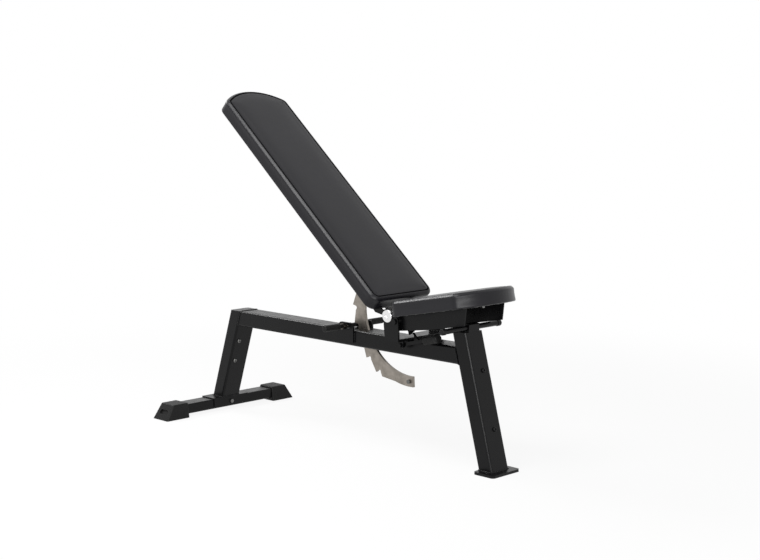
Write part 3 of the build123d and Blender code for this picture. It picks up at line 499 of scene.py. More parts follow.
class Workshop:
    """Holds the finished materials and hands pieces over to the frame."""

    def __init__(self) -> None:
        """Builds one material for each slot, one for the seams' thread, and one for the painted
        shade in their crease.
        """
        self.materials = {slot: finish.material() for slot, finish in FINISHES.items()}
        # Material of the painted shade in the seams' crease
        self.seam_painted_shade = SEAM_SHADE_FINISH.material()
        self.thread = THREAD_FINISH.material()

    def dress_nodes(self) -> None:
        """Gives every solid of the frame the finish of its slot."""
        for subpart in frame["record"]["subparts"]:
            solid = frame["nodes"][subpart["node"]]
            self.coat(solid.data, Slot(subpart["material_slot"]))

    def coat(self, mesh: bpy.types.Mesh, slot: Slot) -> None:
        """Puts a slot's material on a mesh, except where it already wears the thread's finish or
        the seam's painted shade.

        Args:
            mesh: The mesh to coat.
            slot: The slot whose finish it gets.
        """
        if not mesh.materials:
            mesh.materials.append(self.materials[slot])
        for index, worn in enumerate(mesh.materials):
            # Keep the thread's finish and the seam's painted shade
            if worn not in (self.seam_painted_shade, self.thread):
                mesh.materials[index] = self.materials[slot]

    def hand_over(self, name: str, mesh: bpy.types.Mesh, body: Body, slot: Slot,
                  replaced: Iterable[str] = ()) -> bpy.types.Object:
        """Makes a finished mesh a piece that rides on a body.

        Args:
            name: The piece's name.
            mesh: Its mesh, in place in the shared frame.
            body: The body that it rides on.
            slot: The slot whose finish it gets.
            replaced: Solids that the piece stands for.

        Returns:
            The piece.
        """
        mesh.name = name
        self.coat(mesh, slot)
        piece = bpy.data.objects.new(name, mesh)
        bpy.context.scene.collection.objects.link(piece)
        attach(piece, body.value)
        nodes = tuple(replaced)
        if nodes:
            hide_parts(*nodes)
        LOG.info("%s: %d faces on %s", name, len(mesh.polygons), body.value)
        return piece


def to_mesh(shape: bmesh.types.BMesh, smooth: bool = True) -> bpy.types.Mesh:
    """Closes a bmesh into a mesh.

    Args:
        shape: The bmesh, which is freed.
        smooth: Whether its faces are shaded smooth.

    Returns:
        The mesh.
    """
    mesh = bpy.data.meshes.new("mesh")
    for face in shape.faces:
        face.smooth = smooth
    shape.to_mesh(mesh)
    shape.free()
    return mesh


def points_of(mesh: bpy.types.Mesh) -> np.ndarray:
    """Vertex places of a mesh.

    Args:
        mesh: The mesh.

    Returns:
        Its vertices as rows of X, Y and Z.
    """
    flat = np.empty(len(mesh.vertices) * 3)
    mesh.vertices.foreach_get("co", flat)
    return flat.reshape(-1, 3)


def set_points(mesh: bpy.types.Mesh, points: np.ndarray) -> None:
    """Writes vertex places back to a mesh.

    Args:
        mesh: The mesh.
        points: Its vertices as rows of X, Y and Z.
    """
    mesh.vertices.foreach_set("co", points.ravel())
    mesh.update()


@dataclass
class BeadRun:
    """Rounded beads along a path: a weld's scales, or a row of stitches or staples."""

    path: Sequence[Vector]
    radius: float = 0.0026
    pitch: float = 0.0024
    stretch: float = 0.85
    wobble: float = 0.10
    wobble_step: float = 2.4
    segments: tuple[int, int] = (8, 5)
    shortest: float = 1e-6

    def stations(self) -> list[tuple[Vector, Vector]]:
        """Places along the path, one for each bead.

        Returns:
            Pairs of a place and the direction of the path there.
        """
        found = []
        spare = 0.0
        for start, end in zip(self.path, self.path[1:]):
            run = end - start
            if run.length < self.shortest:
                continue
            way = run.normalized()
            while spare < run.length:
                found.append((start + way * spare, way))
                spare += self.pitch
            spare -= run.length
        return found

    def lay(self, shape: bmesh.types.BMesh) -> None:
        """Adds the beads to a bmesh.

        Args:
            shape: The bmesh that gathers them.
        """
        run = bmesh.new()
        for number, (at, way) in enumerate(self.stations()):
            girth = 1.0 + self.wobble * math.sin(number * self.wobble_step)
            turn = way.to_track_quat("Z", "Y").to_matrix().to_4x4()
            size = Matrix.Diagonal((girth, girth, self.stretch, 1.0))
            around, up = self.segments
            bmesh.ops.create_uvsphere(run, u_segments=around, v_segments=up, radius=self.radius,
                                      matrix=Matrix.Translation(at) @ turn @ size)
        mesh = to_mesh(run)
        shape.from_mesh(mesh)
        bpy.data.meshes.remove(mesh)


@dataclass
class Cushion:
    """One upholstered pad: foam under vinyl, with a rolled edge, a sewn seam with painted shade in
    its crease, and a stapled hem.

    The pairs in upper and lower are steps inwards and out of the face, from the outline over the
    roll and the seam, and from the outline down round the board. A stitch or staple is a radius, a
    pitch and a length as a multiple of the radius.
    """

    name: str
    solid: str
    body: Body
    place: Matrix
    lip: float = 0.0215
    roll_foot: float = 0.0252
    thick: float = 0.035
    board: float = 0.009
    merge: float = 0.002
    straight: float = math.radians(0.3)
    spacing: float = 0.005
    cell: float = 0.0065
    base_cell: float = 0.03
    cut_reach: float = 0.0002
    seam: float = 0.0118
    # Band inside the outline whose faces take the near-black painted shade of the seam's crease
    seam_shade_band: tuple[float, float] = (0.0104, 0.0160)
    held_share: float = 1.3
    side_reach: float = 0.004
    drawn_in: float = 0.0014
    slack: tuple[float, float, float] = (0.25, 31.0, 23.0)
    pucker: float = 0.00014
    pucker_reach: float = 0.004
    pucker_waves: tuple[float, float] = (410.0, 530.0)
    pucker_over: tuple[float, float, float] = (0.6, 1.7, 1.3)
    crown: float = 0.0028
    pressure: float = 4.0
    frames: int = 20
    fill: float = 0.9
    upper: Sequence[tuple[float, float]] = (
        (0.0004, 0.0017), (0.0009, 0.0019), (0.0021, 0.0022), (0.0024, 0.0022), (0.0022, 0.0018),
        (0.0014, 0.0006), (0.0008, -0.0002), (0.0006, -0.0014), (0.0003, -0.0012), (0.0008, 0.0),
        (0.0012, 0.0010), (0.0020, 0.0009), (0.0035, 0.0008), (0.0050, 0.0006), (0.0060, 0.0004))
    lower: Sequence[tuple[float, float]] = (
        (0.0, 0.0060), (0.0, 0.0070), (0.0, 0.0070), (0.0, 0.0060), (0.0002, 0.0025),
        (0.0012, 0.0018), (0.0022, 0.0010), (0.0060, 0.0), (0.0038, 0.0), (0.0004, -0.0004),
        (-0.0080, -0.0003), (0.0, -0.0092))
    sewn_step: int = 9
    stapled_step: int = 7
    stitch: tuple[float, float, float] = (0.00055, 0.0046, 3.3)
    staple: tuple[float, float, float] = (0.00065, 0.0360, 8.0)
    rim: np.ndarray = field(init=False)
    inward: np.ndarray = field(init=False)
    sewn: list[Vector] = field(init=False)
    stapled: list[Vector] = field(init=False)

    def outline(self) -> bmesh.types.BMesh:
        """Cuts the solid level at the foot of its rolled edge.

        Returns:
            The cut's edges in the pad's own frame, evenly divided.
        """
        shape = bmesh.new()
        shape.from_mesh(frame["nodes"][self.solid].data)
        bmesh.ops.remove_doubles(shape, verts=shape.verts, dist=TOUCHING)
        bmesh.ops.transform(shape, matrix=self.place.inverted(), verts=shape.verts)
        bmesh.ops.bisect_plane(shape, geom=[*shape.verts, *shape.edges, *shape.faces],
                               dist=TOUCHING / 10, plane_co=(0.0, 0.0, self.lip),
                               plane_no=(0.0, 0.0, 1.0), clear_inner=True, clear_outer=True)
        bmesh.ops.remove_doubles(shape, verts=shape.verts, dist=self.merge)
        bmesh.ops.dissolve_limit(shape, angle_limit=self.straight, verts=shape.verts,
                                 edges=shape.edges)
        for edge in list(shape.edges):
            cuts = math.ceil(edge.calc_length() / self.spacing) - 1
            if cuts > 0:
                bmesh.ops.subdivide_edges(shape, edges=[edge], cuts=cuts)
        return shape

    def core(self) -> bpy.types.Mesh:
        """Grows the cover from the outline: up over the roll and the seam, down round the board.

        Returns:
            The core's mesh, its board's top on Z = 0 and its straight end on X = 0.
        """
        shape = self.outline()
        base = bmesh.ops.contextual_create(shape, geom=shape.edges)["faces"][0]
        self.measure_rim(base)
        grown = bmesh.ops.extrude_face_region(shape, geom=[base], use_keep_orig=True)["geom"]
        top = next(item for item in grown if isinstance(item, bmesh.types.BMFace))
        bmesh.ops.translate(shape, vec=Vector((0.0, 0.0, self.roll_foot - self.lip)),
                            verts=top.verts)
        bmesh.ops.recalc_face_normals(shape, faces=shape.faces)
        loops = {}
        for face, steps in ((top, self.upper), (base, self.lower)):
            for number, (inset, rise) in enumerate(steps):
                bmesh.ops.inset_region(shape, faces=[face], thickness=inset, depth=rise)
                loops[face, number] = [vert.co.copy() for vert in (*face.verts, face.verts[0])]
        self.sewn = loops[top, self.sewn_step]
        self.stapled = loops[base, self.stapled_step]
        self.quilt(shape, top, self.cell)
        self.quilt(shape, base, self.base_cell)
        return to_mesh(shape)

    def quilt(self, shape: bmesh.types.BMesh, face: bmesh.types.BMFace, cell: float) -> None:
        """Divides a flat face into even cells.

        Args:
            shape: The bmesh that holds the face.
            face: The face to divide.
            cell: Side of a cell.
        """
        face.material_index = 1
        for axis, normal in enumerate((Vector((1.0, 0.0, 0.0)), Vector((0.0, 1.0, 0.0)))):
            low, high = min(self.rim[:, axis]), max(self.rim[:, axis])
            count = round((high - low) / cell)
            for step in range(1, count):
                cells = [item for item in shape.faces if item.material_index]
                edges = {edge for item in cells for edge in item.edges}
                verts = {vert for item in cells for vert in item.verts}
                at = normal * (low + (high - low) * step / count)
                bmesh.ops.bisect_plane(shape, geom=[*cells, *edges, *verts],
                                       dist=self.cut_reach, plane_co=at, plane_no=normal)
        for item in shape.faces:
            item.material_index = 0

    def measure_rim(self, face: bmesh.types.BMFace) -> None:
        """Keeps the outline's points and the way inwards from each of its sides.

        Args:
            face: The face that fills the outline.
        """
        self.rim = np.array([loop.vert.co[:2] for loop in face.loops])
        along = np.roll(self.rim, -1, axis=0) - self.rim
        along /= np.hypot(along[:, 0], along[:, 1])[:, None]
        turn = 1.0 if face.normal.z > 0.0 else -1.0
        self.inward = np.stack([-along[:, 1], along[:, 0]], axis=1) * turn

    def depth_inside(self, points: np.ndarray) -> tuple[np.ndarray, np.ndarray]:
        """Distance inside the outline and the way inwards.

        Args:
            points: Places in the pad's frame.

        Returns:
            The distances, and the inward direction of the nearest side.
        """
        nearest = np.full(len(points), np.inf)
        way = np.zeros((len(points), 2))
        for at, inward in zip(self.rim, self.inward):
            reach = (points[:, :2] - at) @ inward
            closer = reach < nearest
            nearest[closer] = reach[closer]
            way[closer] = inward
        return nearest, way

    def applied(self, carrier: bpy.types.Object) -> bpy.types.Mesh:
        """Takes a carrier's evaluated mesh and removes the carrier.

        Args:
            carrier: The object with the modifier.

        Returns:
            The evaluated mesh.
        """
        depsgraph = bpy.context.evaluated_depsgraph_get()
        depsgraph.update()
        mesh = bpy.data.meshes.new_from_object(carrier.evaluated_get(depsgraph))
        bpy.data.objects.remove(carrier)
        return mesh

    def inflated(self, mesh: bpy.types.Mesh) -> bpy.types.Mesh:
        """Blows the face up against its own cloth, held all round along the seam.

        Args:
            mesh: The core's mesh.

        Returns:
            The swollen mesh, its face risen by no more than the crown.
        """
        start = points_of(mesh)
        inside, _ = self.depth_inside(start)
        carrier = bpy.data.objects.new("inflate", mesh)
        scene = bpy.context.scene
        scene.collection.objects.link(carrier)
        held = carrier.vertex_groups.new(name="held")
        fixed = (inside < self.seam * self.held_share) | (start[:, 2] < self.lip)
        held.add([int(i) for i in np.nonzero(fixed)[0]], 1.0, "REPLACE")
        cloth = carrier.modifiers.new("cover", "CLOTH")
        cloth.settings.vertex_group_mass = "held"
        cloth.settings.use_pressure = True
        cloth.settings.uniform_pressure_force = self.pressure
        cloth.settings.effector_weights.gravity = 0.0
        cloth.point_cache.frame_start = 1
        cloth.point_cache.frame_end = self.frames
        for number in range(1, self.frames + 1):
            scene.frame_set(number)
        swollen = self.applied(carrier)
        scene.frame_set(1)
        rise = points_of(swollen)[:, 2] - start[:, 2]
        LOG.info("%s: face rose by up to %.4f m", self.name, rise.max())
        start[:, 2] += self.crown * np.tanh(np.maximum(rise, 0.0) / self.crown)
        set_points(swollen, start)
        return swollen

    def refined(self, mesh: bpy.types.Mesh) -> bpy.types.Mesh:
        """Subdivides the cover once.

        Args:
            mesh: The swollen mesh.

        Returns:
            The finer mesh.
        """
        carrier = bpy.data.objects.new("refine", mesh)
        bpy.context.scene.collection.objects.link(carrier)
        finer = carrier.modifiers.new("finer", "SUBSURF")
        finer.levels = finer.render_levels = 1
        return self.applied(carrier)

    def sew(self, mesh: bpy.types.Mesh) -> None:
        """Draws the sides in and puckers the vinyl along the seam.

        Args:
            mesh: The refined mesh, in the pad's frame.
        """
        points = points_of(mesh)
        inside, way = self.depth_inside(points)
        height = np.clip((points[:, 2] + self.board) / (self.thick + self.board), 0.0, 1.0)
        on_side = (inside < self.side_reach) & (height > 0.0)
        pull = self.drawn_in * np.sin(math.pi * height) ** 2 * on_side
        share, wave_x, wave_y = self.slack
        slow = 1.0 + share * np.sin(points[:, 0] * wave_x + points[:, 1] * wave_y)
        points[:, :2] += way * (pull * slow)[:, None]
        off_seam = np.abs(inside - self.seam - self.pucker_reach)
        near = np.clip(1.0 - off_seam / self.pucker_reach, 0.0, 1.0) * (points[:, 2] > self.lip)
        along = points[:, :2] @ np.array(self.pucker_waves)
        share, pace, shift = self.pucker_over
        ripple = np.sin(along) + share * np.sin(along * pace + shift)
        points[:, 2] += near * ripple * self.pucker
        set_points(mesh, points)

    def seam_painted_shade(self, mesh: bpy.types.Mesh, workshop: Workshop) -> None:
        """Gives the faces in a band along the seam a near-black dull finish: painted shade,
        standing for the shade in the crease behind the roll.

        Args:
            mesh: The sewn mesh, in the pad's frame.
            workshop: Where the finishes are.
        """
        middles = np.empty(len(mesh.polygons) * 3)
        mesh.polygons.foreach_get("center", middles)
        middles = middles.reshape(-1, 3)
        inside, _ = self.depth_inside(middles)
        low, high = self.seam_shade_band
        # Faces in the seam band get the painted shade
        in_painted_shade = (inside > low) & (inside < high) & (middles[:, 2] > self.lip)
        mesh.materials.clear()
        mesh.materials.append(workshop.materials[Slot.VINYL])
        # Second material: painted shade in the seam's crease
        mesh.materials.append(workshop.seam_painted_shade)
        mesh.polygons.foreach_set("material_index", in_painted_shade.astype(np.int32))

    def build(self, workshop: Workshop) -> bpy.types.Object:
        """Makes the pad and hands it over.

        Args:
            workshop: Where the finishes are.

        Returns:
            The pad.
        """
        mesh = self.core()
        mesh = self.inflated(mesh)
        mesh = self.refined(mesh)
        self.sew(mesh)
        # Lays painted shade along the seam's crease
        self.seam_painted_shade(mesh, workshop)
        mesh.transform(self.place)
        mesh.polygons.foreach_set("use_smooth", [True] * len(mesh.polygons))
        pad = workshop.hand_over(self.name, mesh, self.body, Slot.VINYL, (self.solid,))
        stitches = self.row(self.sewn, self.stitch)
        stitches.materials.append(workshop.thread)
        workshop.hand_over(f"{self.name}_stitches", stitches, self.body, Slot.VINYL)
        staples = self.row(self.stapled, self.staple)
        workshop.hand_over(f"{self.name}_staples", staples, self.body, Slot.ZINC)
        return pad

    def row(self, path: Sequence[Vector], sizes: tuple[float, float, float]) -> bpy.types.Mesh:
        """Lays a row of stitches or staples along a path, half sunk in the vinyl.

        Args:
            path: Points in the pad's frame, the first repeated at the end.
            sizes: Radius, pitch, and length as a multiple of the radius.

        Returns:
            The row's mesh, in place.
        """
        shape = bmesh.new()
        BeadRun(path, *sizes).lay(shape)
        mesh = to_mesh(shape)
        mesh.transform(self.place)
        return mesh


@dataclass
class FrameWelds:
    """Welds between the frame's tubes and plates."""

    post_foot: Vector = field(default_factory=lambda: Vector((0.597191, 0.0, 0.008)))
    post_lean: float = math.radians(-15.0)
    leg_foot: Vector = field(default_factory=lambda: Vector((-0.601309, 0.0, 0.046)))
    leg_lean: float = math.radians(18.5)
    corner: float = 0.007
    corner_steps: int = 3
    ear_radius: float = 0.0020
    yoke_radius: float = 0.0022
    block_radius: float = 0.0018

    def ring(self, half_x: float, half_y: float) -> list[tuple[float, float]]:
        """Rounded rectangle, as a closed run of corners.

        Args:
            half_x: Half its length.
            half_y: Half its width.

        Returns:
            Its points, the first repeated at the end.
        """
        points = []
        for sx, sy, start in ((1, 1, 0), (-1, 1, 90), (-1, -1, 180), (1, -1, 270)):
            for step in range(self.corner_steps + 1):
                turn = math.radians(start + step * 90 / self.corner_steps)
                points.append((sx * (half_x - self.corner) + self.corner * math.cos(turn),
                               sy * (half_y - self.corner) + self.corner * math.sin(turn)))
        return [*points, points[0]]

    def at_foot(self, foot: Vector, lean: float) -> list[Vector]:
        """Ring round a leaning tube where it stands on its plate.

        Args:
            foot: Middle of the tube's foot.
            lean: The tube's lean.

        Returns:
            The ring's points.
        """
        half_x = TUBE_DEPTH / 2 / math.cos(lean)
        return [Vector((foot.x + x, y, foot.z)) for x, y in self.ring(half_x, TUBE_WIDTH / 2)]

    def at_beam(self, foot: Vector, lean: float, side: int) -> list[Vector]:
        """Ring round the beam's end where it meets a leaning tube's face.

        Args:
            foot: Middle of the tube's foot.
            lean: The tube's lean.
            side: 1 for the tube's front face, -1 for its rear face.

        Returns:
            The ring's points.
        """
        middle = BEAM_TOP - TUBE_DEPTH / 2
        points = []
        for z, y in self.ring(TUBE_DEPTH / 2, TUBE_WIDTH / 2):
            height = middle + z
            axis = foot.x + (height - foot.z) * math.tan(lean)
            points.append(Vector((axis + side * TUBE_DEPTH / 2 / math.cos(lean), y, height)))
        return points

    def runs(self) -> list[BeadRun]:
        """Finds all the frame's welds.

        Returns:
            The welds.
        """
        welds = [
            BeadRun(self.at_foot(self.post_foot, self.post_lean)),
            BeadRun(self.at_foot(self.leg_foot, self.leg_lean)),
            BeadRun(self.at_beam(self.post_foot, self.post_lean, -1)),
            BeadRun(self.at_beam(self.leg_foot, self.leg_lean, 1)),
        ]
        base_low, base_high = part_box("hinge_saddle_base")
        flat = TUBE_WIDTH / 2 - self.corner
        for x in (base_low.x, base_high.x):
            welds.append(BeadRun([Vector((x, -flat, BEAM_TOP)), Vector((x, flat, BEAM_TOP))]))
        for name, side in SIDES.items():
            low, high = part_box(f"latch_ear_{name}")
            y = side * TUBE_WIDTH / 2
            for x in (low.x, high.x):
                up_ear = [Vector((x, y, z)) for z in (low.z, BEAM_TOP - self.corner)]
                welds.append(BeadRun(up_ear, self.ear_radius))
            yoke = [Vector((x, side * base_high.y, base_high.z)) for x in (base_low.x, base_high.x)]
            welds.append(BeadRun(yoke, self.yoke_radius))
        block_low, block_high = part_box("rest_bar_block")
        cap_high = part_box("post_cap")[1]
        front = min(block_high.x, cap_high.x) - self.corner
        for y in (block_low.y, block_high.y):
            side_run = [Vector((x, y, block_low.z)) for x in (block_low.x, front)]
            welds.append(BeadRun(side_run, self.block_radius))
        rear = [Vector((block_low.x, y, block_low.z)) for y in (block_low.y, block_high.y)]
        welds.append(BeadRun(rear, self.block_radius))
        return welds

    def build(self, workshop: Workshop) -> bpy.types.Object:
        """Lays the welds and hands them over as one piece.

        Args:
            workshop: Where the finishes are.

        Returns:
            The piece.
        """
        shape = bmesh.new()
        for weld in self.runs():
            weld.lay(shape)
        return workshop.hand_over("frame_welds", to_mesh(shape), Body.FRAME, Slot.FRAME_BLACK)


@dataclass
class BackrestWelds:
    """Welds between the backrest's tube, plates, hinge arms, sleeve and rack."""

    tube_half: float = 0.025
    plate_base: float = -0.027
    tube_base: float = -0.052
    rack_half: float = 0.004
    rack_span: tuple[float, float] = (-0.235, -0.186)
    plates: tuple[tuple[float, float], ...] = ((-0.149, -0.064), (-0.689, -0.641))
    sleeve_radius: float = 0.014
    arm_faces: tuple[float, float] = (0.064, 0.070)
    arm_span: tuple[float, float] = (-0.149, -0.064)
    rack_radius: float = 0.0016
    plate_radius: float = 0.0022
    arm_radius: float = 0.0020
    sleeve_bead: tuple[float, float] = (0.0017, 0.0020)
    sleeve_steps: int = 36

    def raised(self, x: float, y: float, z: float) -> Vector:
        """Raises a place on the level backrest to its notch.

        Args:
            x: Place along the level backrest, from the hinge.
            y: Place across it.
            z: Height above the hinge.

        Returns:
            The place in the shared frame.
        """
        return Matrix.Translation(HINGE) @ Matrix.Rotation(BACK_RAISE, 4, "Y") @ Vector((x, y, z))

    def along(self, span: tuple[float, float], y: float, z: float) -> list[Vector]:
        """Straight run along the backrest.

        Args:
            span: Where it starts and ends along the level backrest.
            y: Place across it.
            z: Height above the hinge.

        Returns:
            Its two ends.
        """
        return [self.raised(x, y, z) for x in span]

    def build(self, workshop: Workshop) -> bpy.types.Object:
        """Lays the welds and hands them over as one piece.

        Args:
            workshop: Where the finishes are.

        Returns:
            The piece.
        """
        shape = bmesh.new()
        step = math.radians(360 / self.sleeve_steps)
        turns = [step * number for number in range(self.sleeve_steps + 1)]
        for side in SIDES.values():
            rack = self.along(self.rack_span, side * self.rack_half, self.tube_base)
            BeadRun(rack, self.rack_radius).lay(shape)
            for span in self.plates:
                plate = self.along(span, side * self.tube_half, self.plate_base)
                BeadRun(plate, self.plate_radius).lay(shape)
            arm = self.along(self.arm_span, side * self.arm_faces[0], self.plate_base)
            BeadRun(arm, self.arm_radius).lay(shape)
            for face in self.arm_faces:
                round_sleeve = [self.raised(self.sleeve_radius * math.cos(turn), side * face,
                                            self.sleeve_radius * math.sin(turn)) for turn in turns]
                BeadRun(round_sleeve, *self.sleeve_bead).lay(shape)
        return workshop.hand_over("backrest_welds", to_mesh(shape), Body.BACKREST, Slot.FRAME_BLACK)


@dataclass
class RibbedGrip:
    """Moulded rubber grip with rings round it, closed at its outer end."""

    name: str
    solid: str
    body: Body
    place: Matrix
    radius: float
    bore: float
    length: float
    edge: float
    rings: int
    groove: float = 0.0007
    mouth_edge: float = 0.5
    margins: tuple[float, float] = (1.6, 2.2)
    groove_places: tuple[float, float, float] = (0.12, 0.30, 0.42)
    edge_steps: int = 5
    sides: int = 40

    def profile(self) -> list[tuple[float, float]]:
        """Half section from the bore's mouth out along the grip and in to the middle of its end.

        Returns:
            Pairs of a radius and a place along the axis.
        """
        cut = self.edge * self.mouth_edge
        points = [(self.bore, 0.0), (self.radius - cut, 0.0), (self.radius, cut)]
        start, end = self.edge * self.margins[0], self.length - self.edge * self.margins[1]
        pitch = (end - start) / self.rings
        sunk = self.radius - self.groove
        for ring in range(self.rings):
            at = start + ring * pitch
            down, up, out = (at + pitch * share for share in self.groove_places)
            points += [(self.radius, at), (sunk, down), (sunk, up), (self.radius, out)]
        for step in range(self.edge_steps + 1):
            turn = math.radians(step * 90 / self.edge_steps)
            points.append((self.radius - self.edge + self.edge * math.cos(turn),
                           self.length - self.edge + self.edge * math.sin(turn)))
        return [*points, (0.0, self.length)]

    def build(self, workshop: Workshop) -> bpy.types.Object:
        """Spins the half section and hands the grip over.

        Args:
            workshop: Where the finishes are.

        Returns:
            The grip.
        """
        shape = bmesh.new()
        line = [shape.verts.new((radius, 0.0, at)) for radius, at in self.profile()]
        edges = [shape.edges.new(pair) for pair in zip(line, line[1:])]
        bmesh.ops.spin(shape, geom=line + edges, cent=(0, 0, 0), axis=(0, 0, 1),
                       angle=2 * math.pi, steps=self.sides, use_merge=True)
        bmesh.ops.remove_doubles(shape, verts=shape.verts, dist=TOUCHING)
        mouth = [edge for edge in shape.edges if edge.is_boundary]
        bmesh.ops.holes_fill(shape, edges=mouth)
        bmesh.ops.recalc_face_normals(shape, faces=shape.faces)
        bmesh.ops.transform(shape, matrix=self.place, verts=shape.verts)
        return workshop.hand_over(self.name, to_mesh(shape), self.body, Slot.RUBBER, (self.solid,))


@dataclass(frozen=True)
class SoftBox:
    """One lamp: where it stands, its power in watts, and its width and height in metres."""

    name: str
    at: Vector
    power: float
    size: tuple[float, float]


@dataclass
class Studio:
    """Pale floor, white surroundings, soft lamps and the camera of the photograph's view."""

    eye: Vector = field(default_factory=lambda: Vector((3.1785, -3.0363, 1.0631)))
    look: Vector = field(default_factory=lambda: Vector((-0.7013, 0.7013, -0.1283)))
    lens: float = 68.07
    sensor: float = 36.0
    far: float = 100.0
    floor_half: float = 12.0
    floor_drop: float = 0.0004
    floor_tone: float = 0.90
    floor_rough: float = 0.9
    aim: Vector = field(default_factory=lambda: Vector((0.0, 0.0, 0.45)))
    surround: float = 0.08
    floor_glow: float = 0.90
    fade_span: tuple[float, float] = (0.9, 2.6)
    lamps: Sequence[SoftBox] = (
        SoftBox("overhead", Vector((0.15, -1.35, 2.8)), 60.0, (1.3, 1.4)),
        SoftBox("rear", Vector((-2.2, -0.4, 2.3)), 42.0, (1.2, 0.7)),
        SoftBox("front", Vector((2.9, -2.6, 1.1)), 96.0, (3.8, 0.8)))

    def camera(self) -> None:
        """Sets the camera up."""
        data = bpy.data.cameras.new("camera")
        data.lens = self.lens
        data.sensor_width = self.sensor
        data.clip_end = self.far
        camera = bpy.data.objects.new("camera", data)
        camera.location = self.eye
        camera.rotation_euler = self.look.to_track_quat("-Z", "Y").to_euler()
        bpy.context.scene.collection.objects.link(camera)
        bpy.context.scene.camera = camera

    def seen_white(self, tree: bpy.types.NodeTree) -> bpy.types.NodeSocket:
        """Factor that is 1 for what the camera, a reflection or glass sees.

        Args:
            tree: The node tree to add it to.

        Returns:
            The factor.
        """
        path = tree.nodes.new("ShaderNodeLightPath")
        total = path.outputs["Is Camera Ray"]
        for name in ("Is Glossy Ray", "Is Transmission Ray"):
            either = tree.nodes.new("ShaderNodeMath")
            either.operation = "MAXIMUM"
            tree.links.new(total, either.inputs[0])
            tree.links.new(path.outputs[name], either.inputs[1])
            total = either.outputs[0]
        return total

    def world(self) -> None:
        """White surroundings that light the bench softly."""
        world = bpy.data.worlds.new("studio")
        bpy.context.scene.world = world
        world.use_nodes = True
        tree = world.node_tree
        level = tree.nodes.new("ShaderNodeMix")
        level.inputs["A"].default_value = self.surround
        level.inputs["B"].default_value = 1.0
        tree.links.new(self.seen_white(tree), level.inputs["Factor"])
        back = tree.nodes["Background"]
        back.inputs["Color"].default_value = (1.0, 1.0, 1.0, 1.0)
        tree.links.new(level.outputs["Result"], back.inputs["Strength"])

    def floor(self) -> None:
        """Pale floor that runs out into the white background and keeps a soft shadow."""
        shape = bmesh.new()
        bmesh.ops.create_grid(shape, x_segments=1, y_segments=1, size=self.floor_half)
        bmesh.ops.translate(shape, vec=Vector((0.0, 0.0, -self.floor_drop)), verts=shape.verts)
        mesh = to_mesh(shape, smooth=False)
        material = bpy.data.materials.new("pale_floor")
        material.use_nodes = True
        tree = material.node_tree
        shader = tree.nodes["Principled BSDF"]
        shader.inputs["Base Color"].default_value = (*[self.floor_tone] * 3, 1.0)
        shader.inputs["Roughness"].default_value = self.floor_rough
        shader.inputs["Specular IOR Level"].default_value = 0.0
        glow = tree.nodes.new("ShaderNodeEmission")
        glow.inputs["Strength"].default_value = 1.0
        away = tree.nodes.new("ShaderNodeVectorMath")
        away.operation = "LENGTH"
        tree.links.new(tree.nodes.new("ShaderNodeTexCoord").outputs["Object"], away.inputs[0])
        fade = tree.nodes.new("ShaderNodeMapRange")
        fade.interpolation_type = "SMOOTHSTEP"
        near, far = self.fade_span
        for name, value in (("From Min", near), ("From Max", far), ("To Min", self.floor_glow)):
            fade.inputs[name].default_value = value
        tree.links.new(away.outputs["Value"], fade.inputs["Value"])
        share = tree.nodes.new("ShaderNodeMath")
        share.operation = "MULTIPLY"
        tree.links.new(fade.outputs["Result"], share.inputs[1])
        tree.links.new(self.seen_white(tree), share.inputs[0])
        mixed = tree.nodes.new("ShaderNodeMixShader")
        tree.links.new(share.outputs[0], mixed.inputs["Fac"])
        tree.links.new(shader.outputs["BSDF"], mixed.inputs[1])
        tree.links.new(glow.outputs["Emission"], mixed.inputs[2])
        tree.links.new(mixed.outputs["Shader"], tree.nodes["Material Output"].inputs["Surface"])
        mesh.materials.append(material)
        floor = bpy.data.objects.new("floor", mesh)
        bpy.context.scene.collection.objects.link(floor)

    def light(self, box: SoftBox) -> None:
        """Adds a lamp that points at the bench.

        Args:
            box: The lamp's place, power and size.
        """
        data = bpy.data.lights.new(box.name, "AREA")
        data.energy = box.power
        data.shape = "RECTANGLE"
        data.size, data.size_y = box.size
        lamp = bpy.data.objects.new(box.name, data)
        lamp.location = box.at
        lamp.rotation_euler = (self.aim - box.at).to_track_quat("-Z", "Y").to_euler()
        bpy.context.scene.collection.objects.link(lamp)

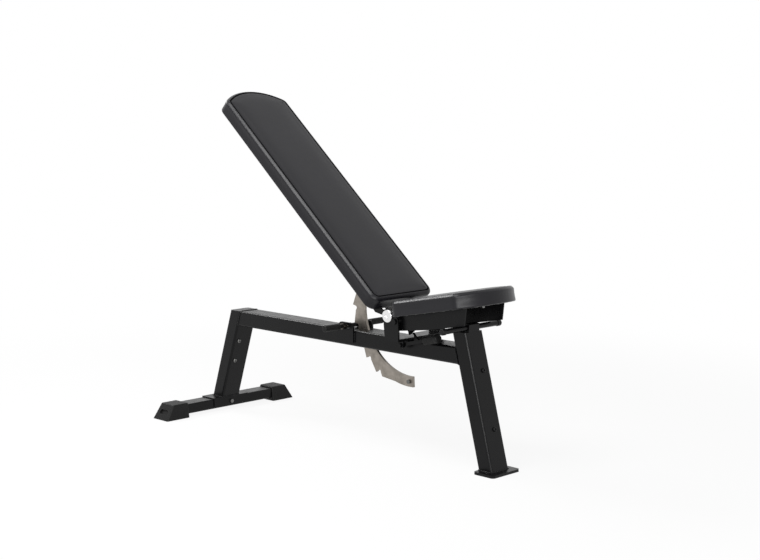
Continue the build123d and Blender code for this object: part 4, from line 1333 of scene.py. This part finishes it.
    def build(self) -> None:
        """Sets the whole studio up."""
        bpy.context.scene.view_settings.view_transform = "Standard"
        self.camera()
        self.world()
        self.floor()
        for box in self.lamps:
            self.light(box)


def pads() -> list[Cushion]:
    """Places the two cushions.

    Returns:
        The backrest's and the seat's.
    """
    back = (Matrix.Translation(HINGE) @ Matrix.Rotation(BACK_RAISE, 4, "Y")
            @ Matrix.Translation(BACK_PAD_AT) @ Matrix.Rotation(math.pi, 4, "Z"))
    seat = (Matrix.Translation(SEAT_PIVOT) @ Matrix.Rotation(-SEAT_TILT, 4, "Y")
            @ Matrix.Translation(SEAT_PAD_AT))
    return [
        Cushion("back_cushion", "back_pad", Body.BACKREST, back),
        Cushion("seat_cushion", "seat_pad", Body.SEAT, seat),
    ]


def grips() -> list[RibbedGrip]:
    """Places the rubber grips.

    Returns:
        The latch rod's two and the lever's.
    """
    made = []
    for name, side in SIDES.items():
        low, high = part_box(f"latch_grip_{name}")
        start = low.y if side > 0 else high.y
        place = (Matrix.Translation(((low.x + high.x) / 2, start, (low.z + high.z) / 2))
                 @ Matrix.Rotation(-side * math.pi / 2, 4, "X"))
        made.append(RibbedGrip(f"latch_handle_{name}", f"latch_grip_{name}", Body.LATCH, place,
                               radius=0.010, bore=0.0061, length=0.062, edge=0.002, rings=9))
    place = (Matrix.Translation(LEVER_PIVOT) @ Matrix.Rotation(-LEVER_RISE, 4, "Y")
             @ Matrix.Translation(LEVER_GRIP_AT) @ Matrix.Rotation(math.pi / 2, 4, "Y"))
    made.append(RibbedGrip("lever_handle", "lever_grip", Body.LEVER, place,
                           radius=0.014, bore=0.0051, length=0.056, edge=0.005, rings=7))
    return made


def main() -> None:
    """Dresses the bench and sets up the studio."""
    logging.basicConfig(level=logging.INFO, format="%(name)s %(message)s")
    workshop = Workshop()
    workshop.dress_nodes()
    for pad in pads():
        pad.build(workshop)
    for grip in grips():
        grip.build(workshop)
    FrameWelds().build(workshop)
    BackrestWelds().build(workshop)
    Studio().build()


if __name__ == "__main__":
    main()
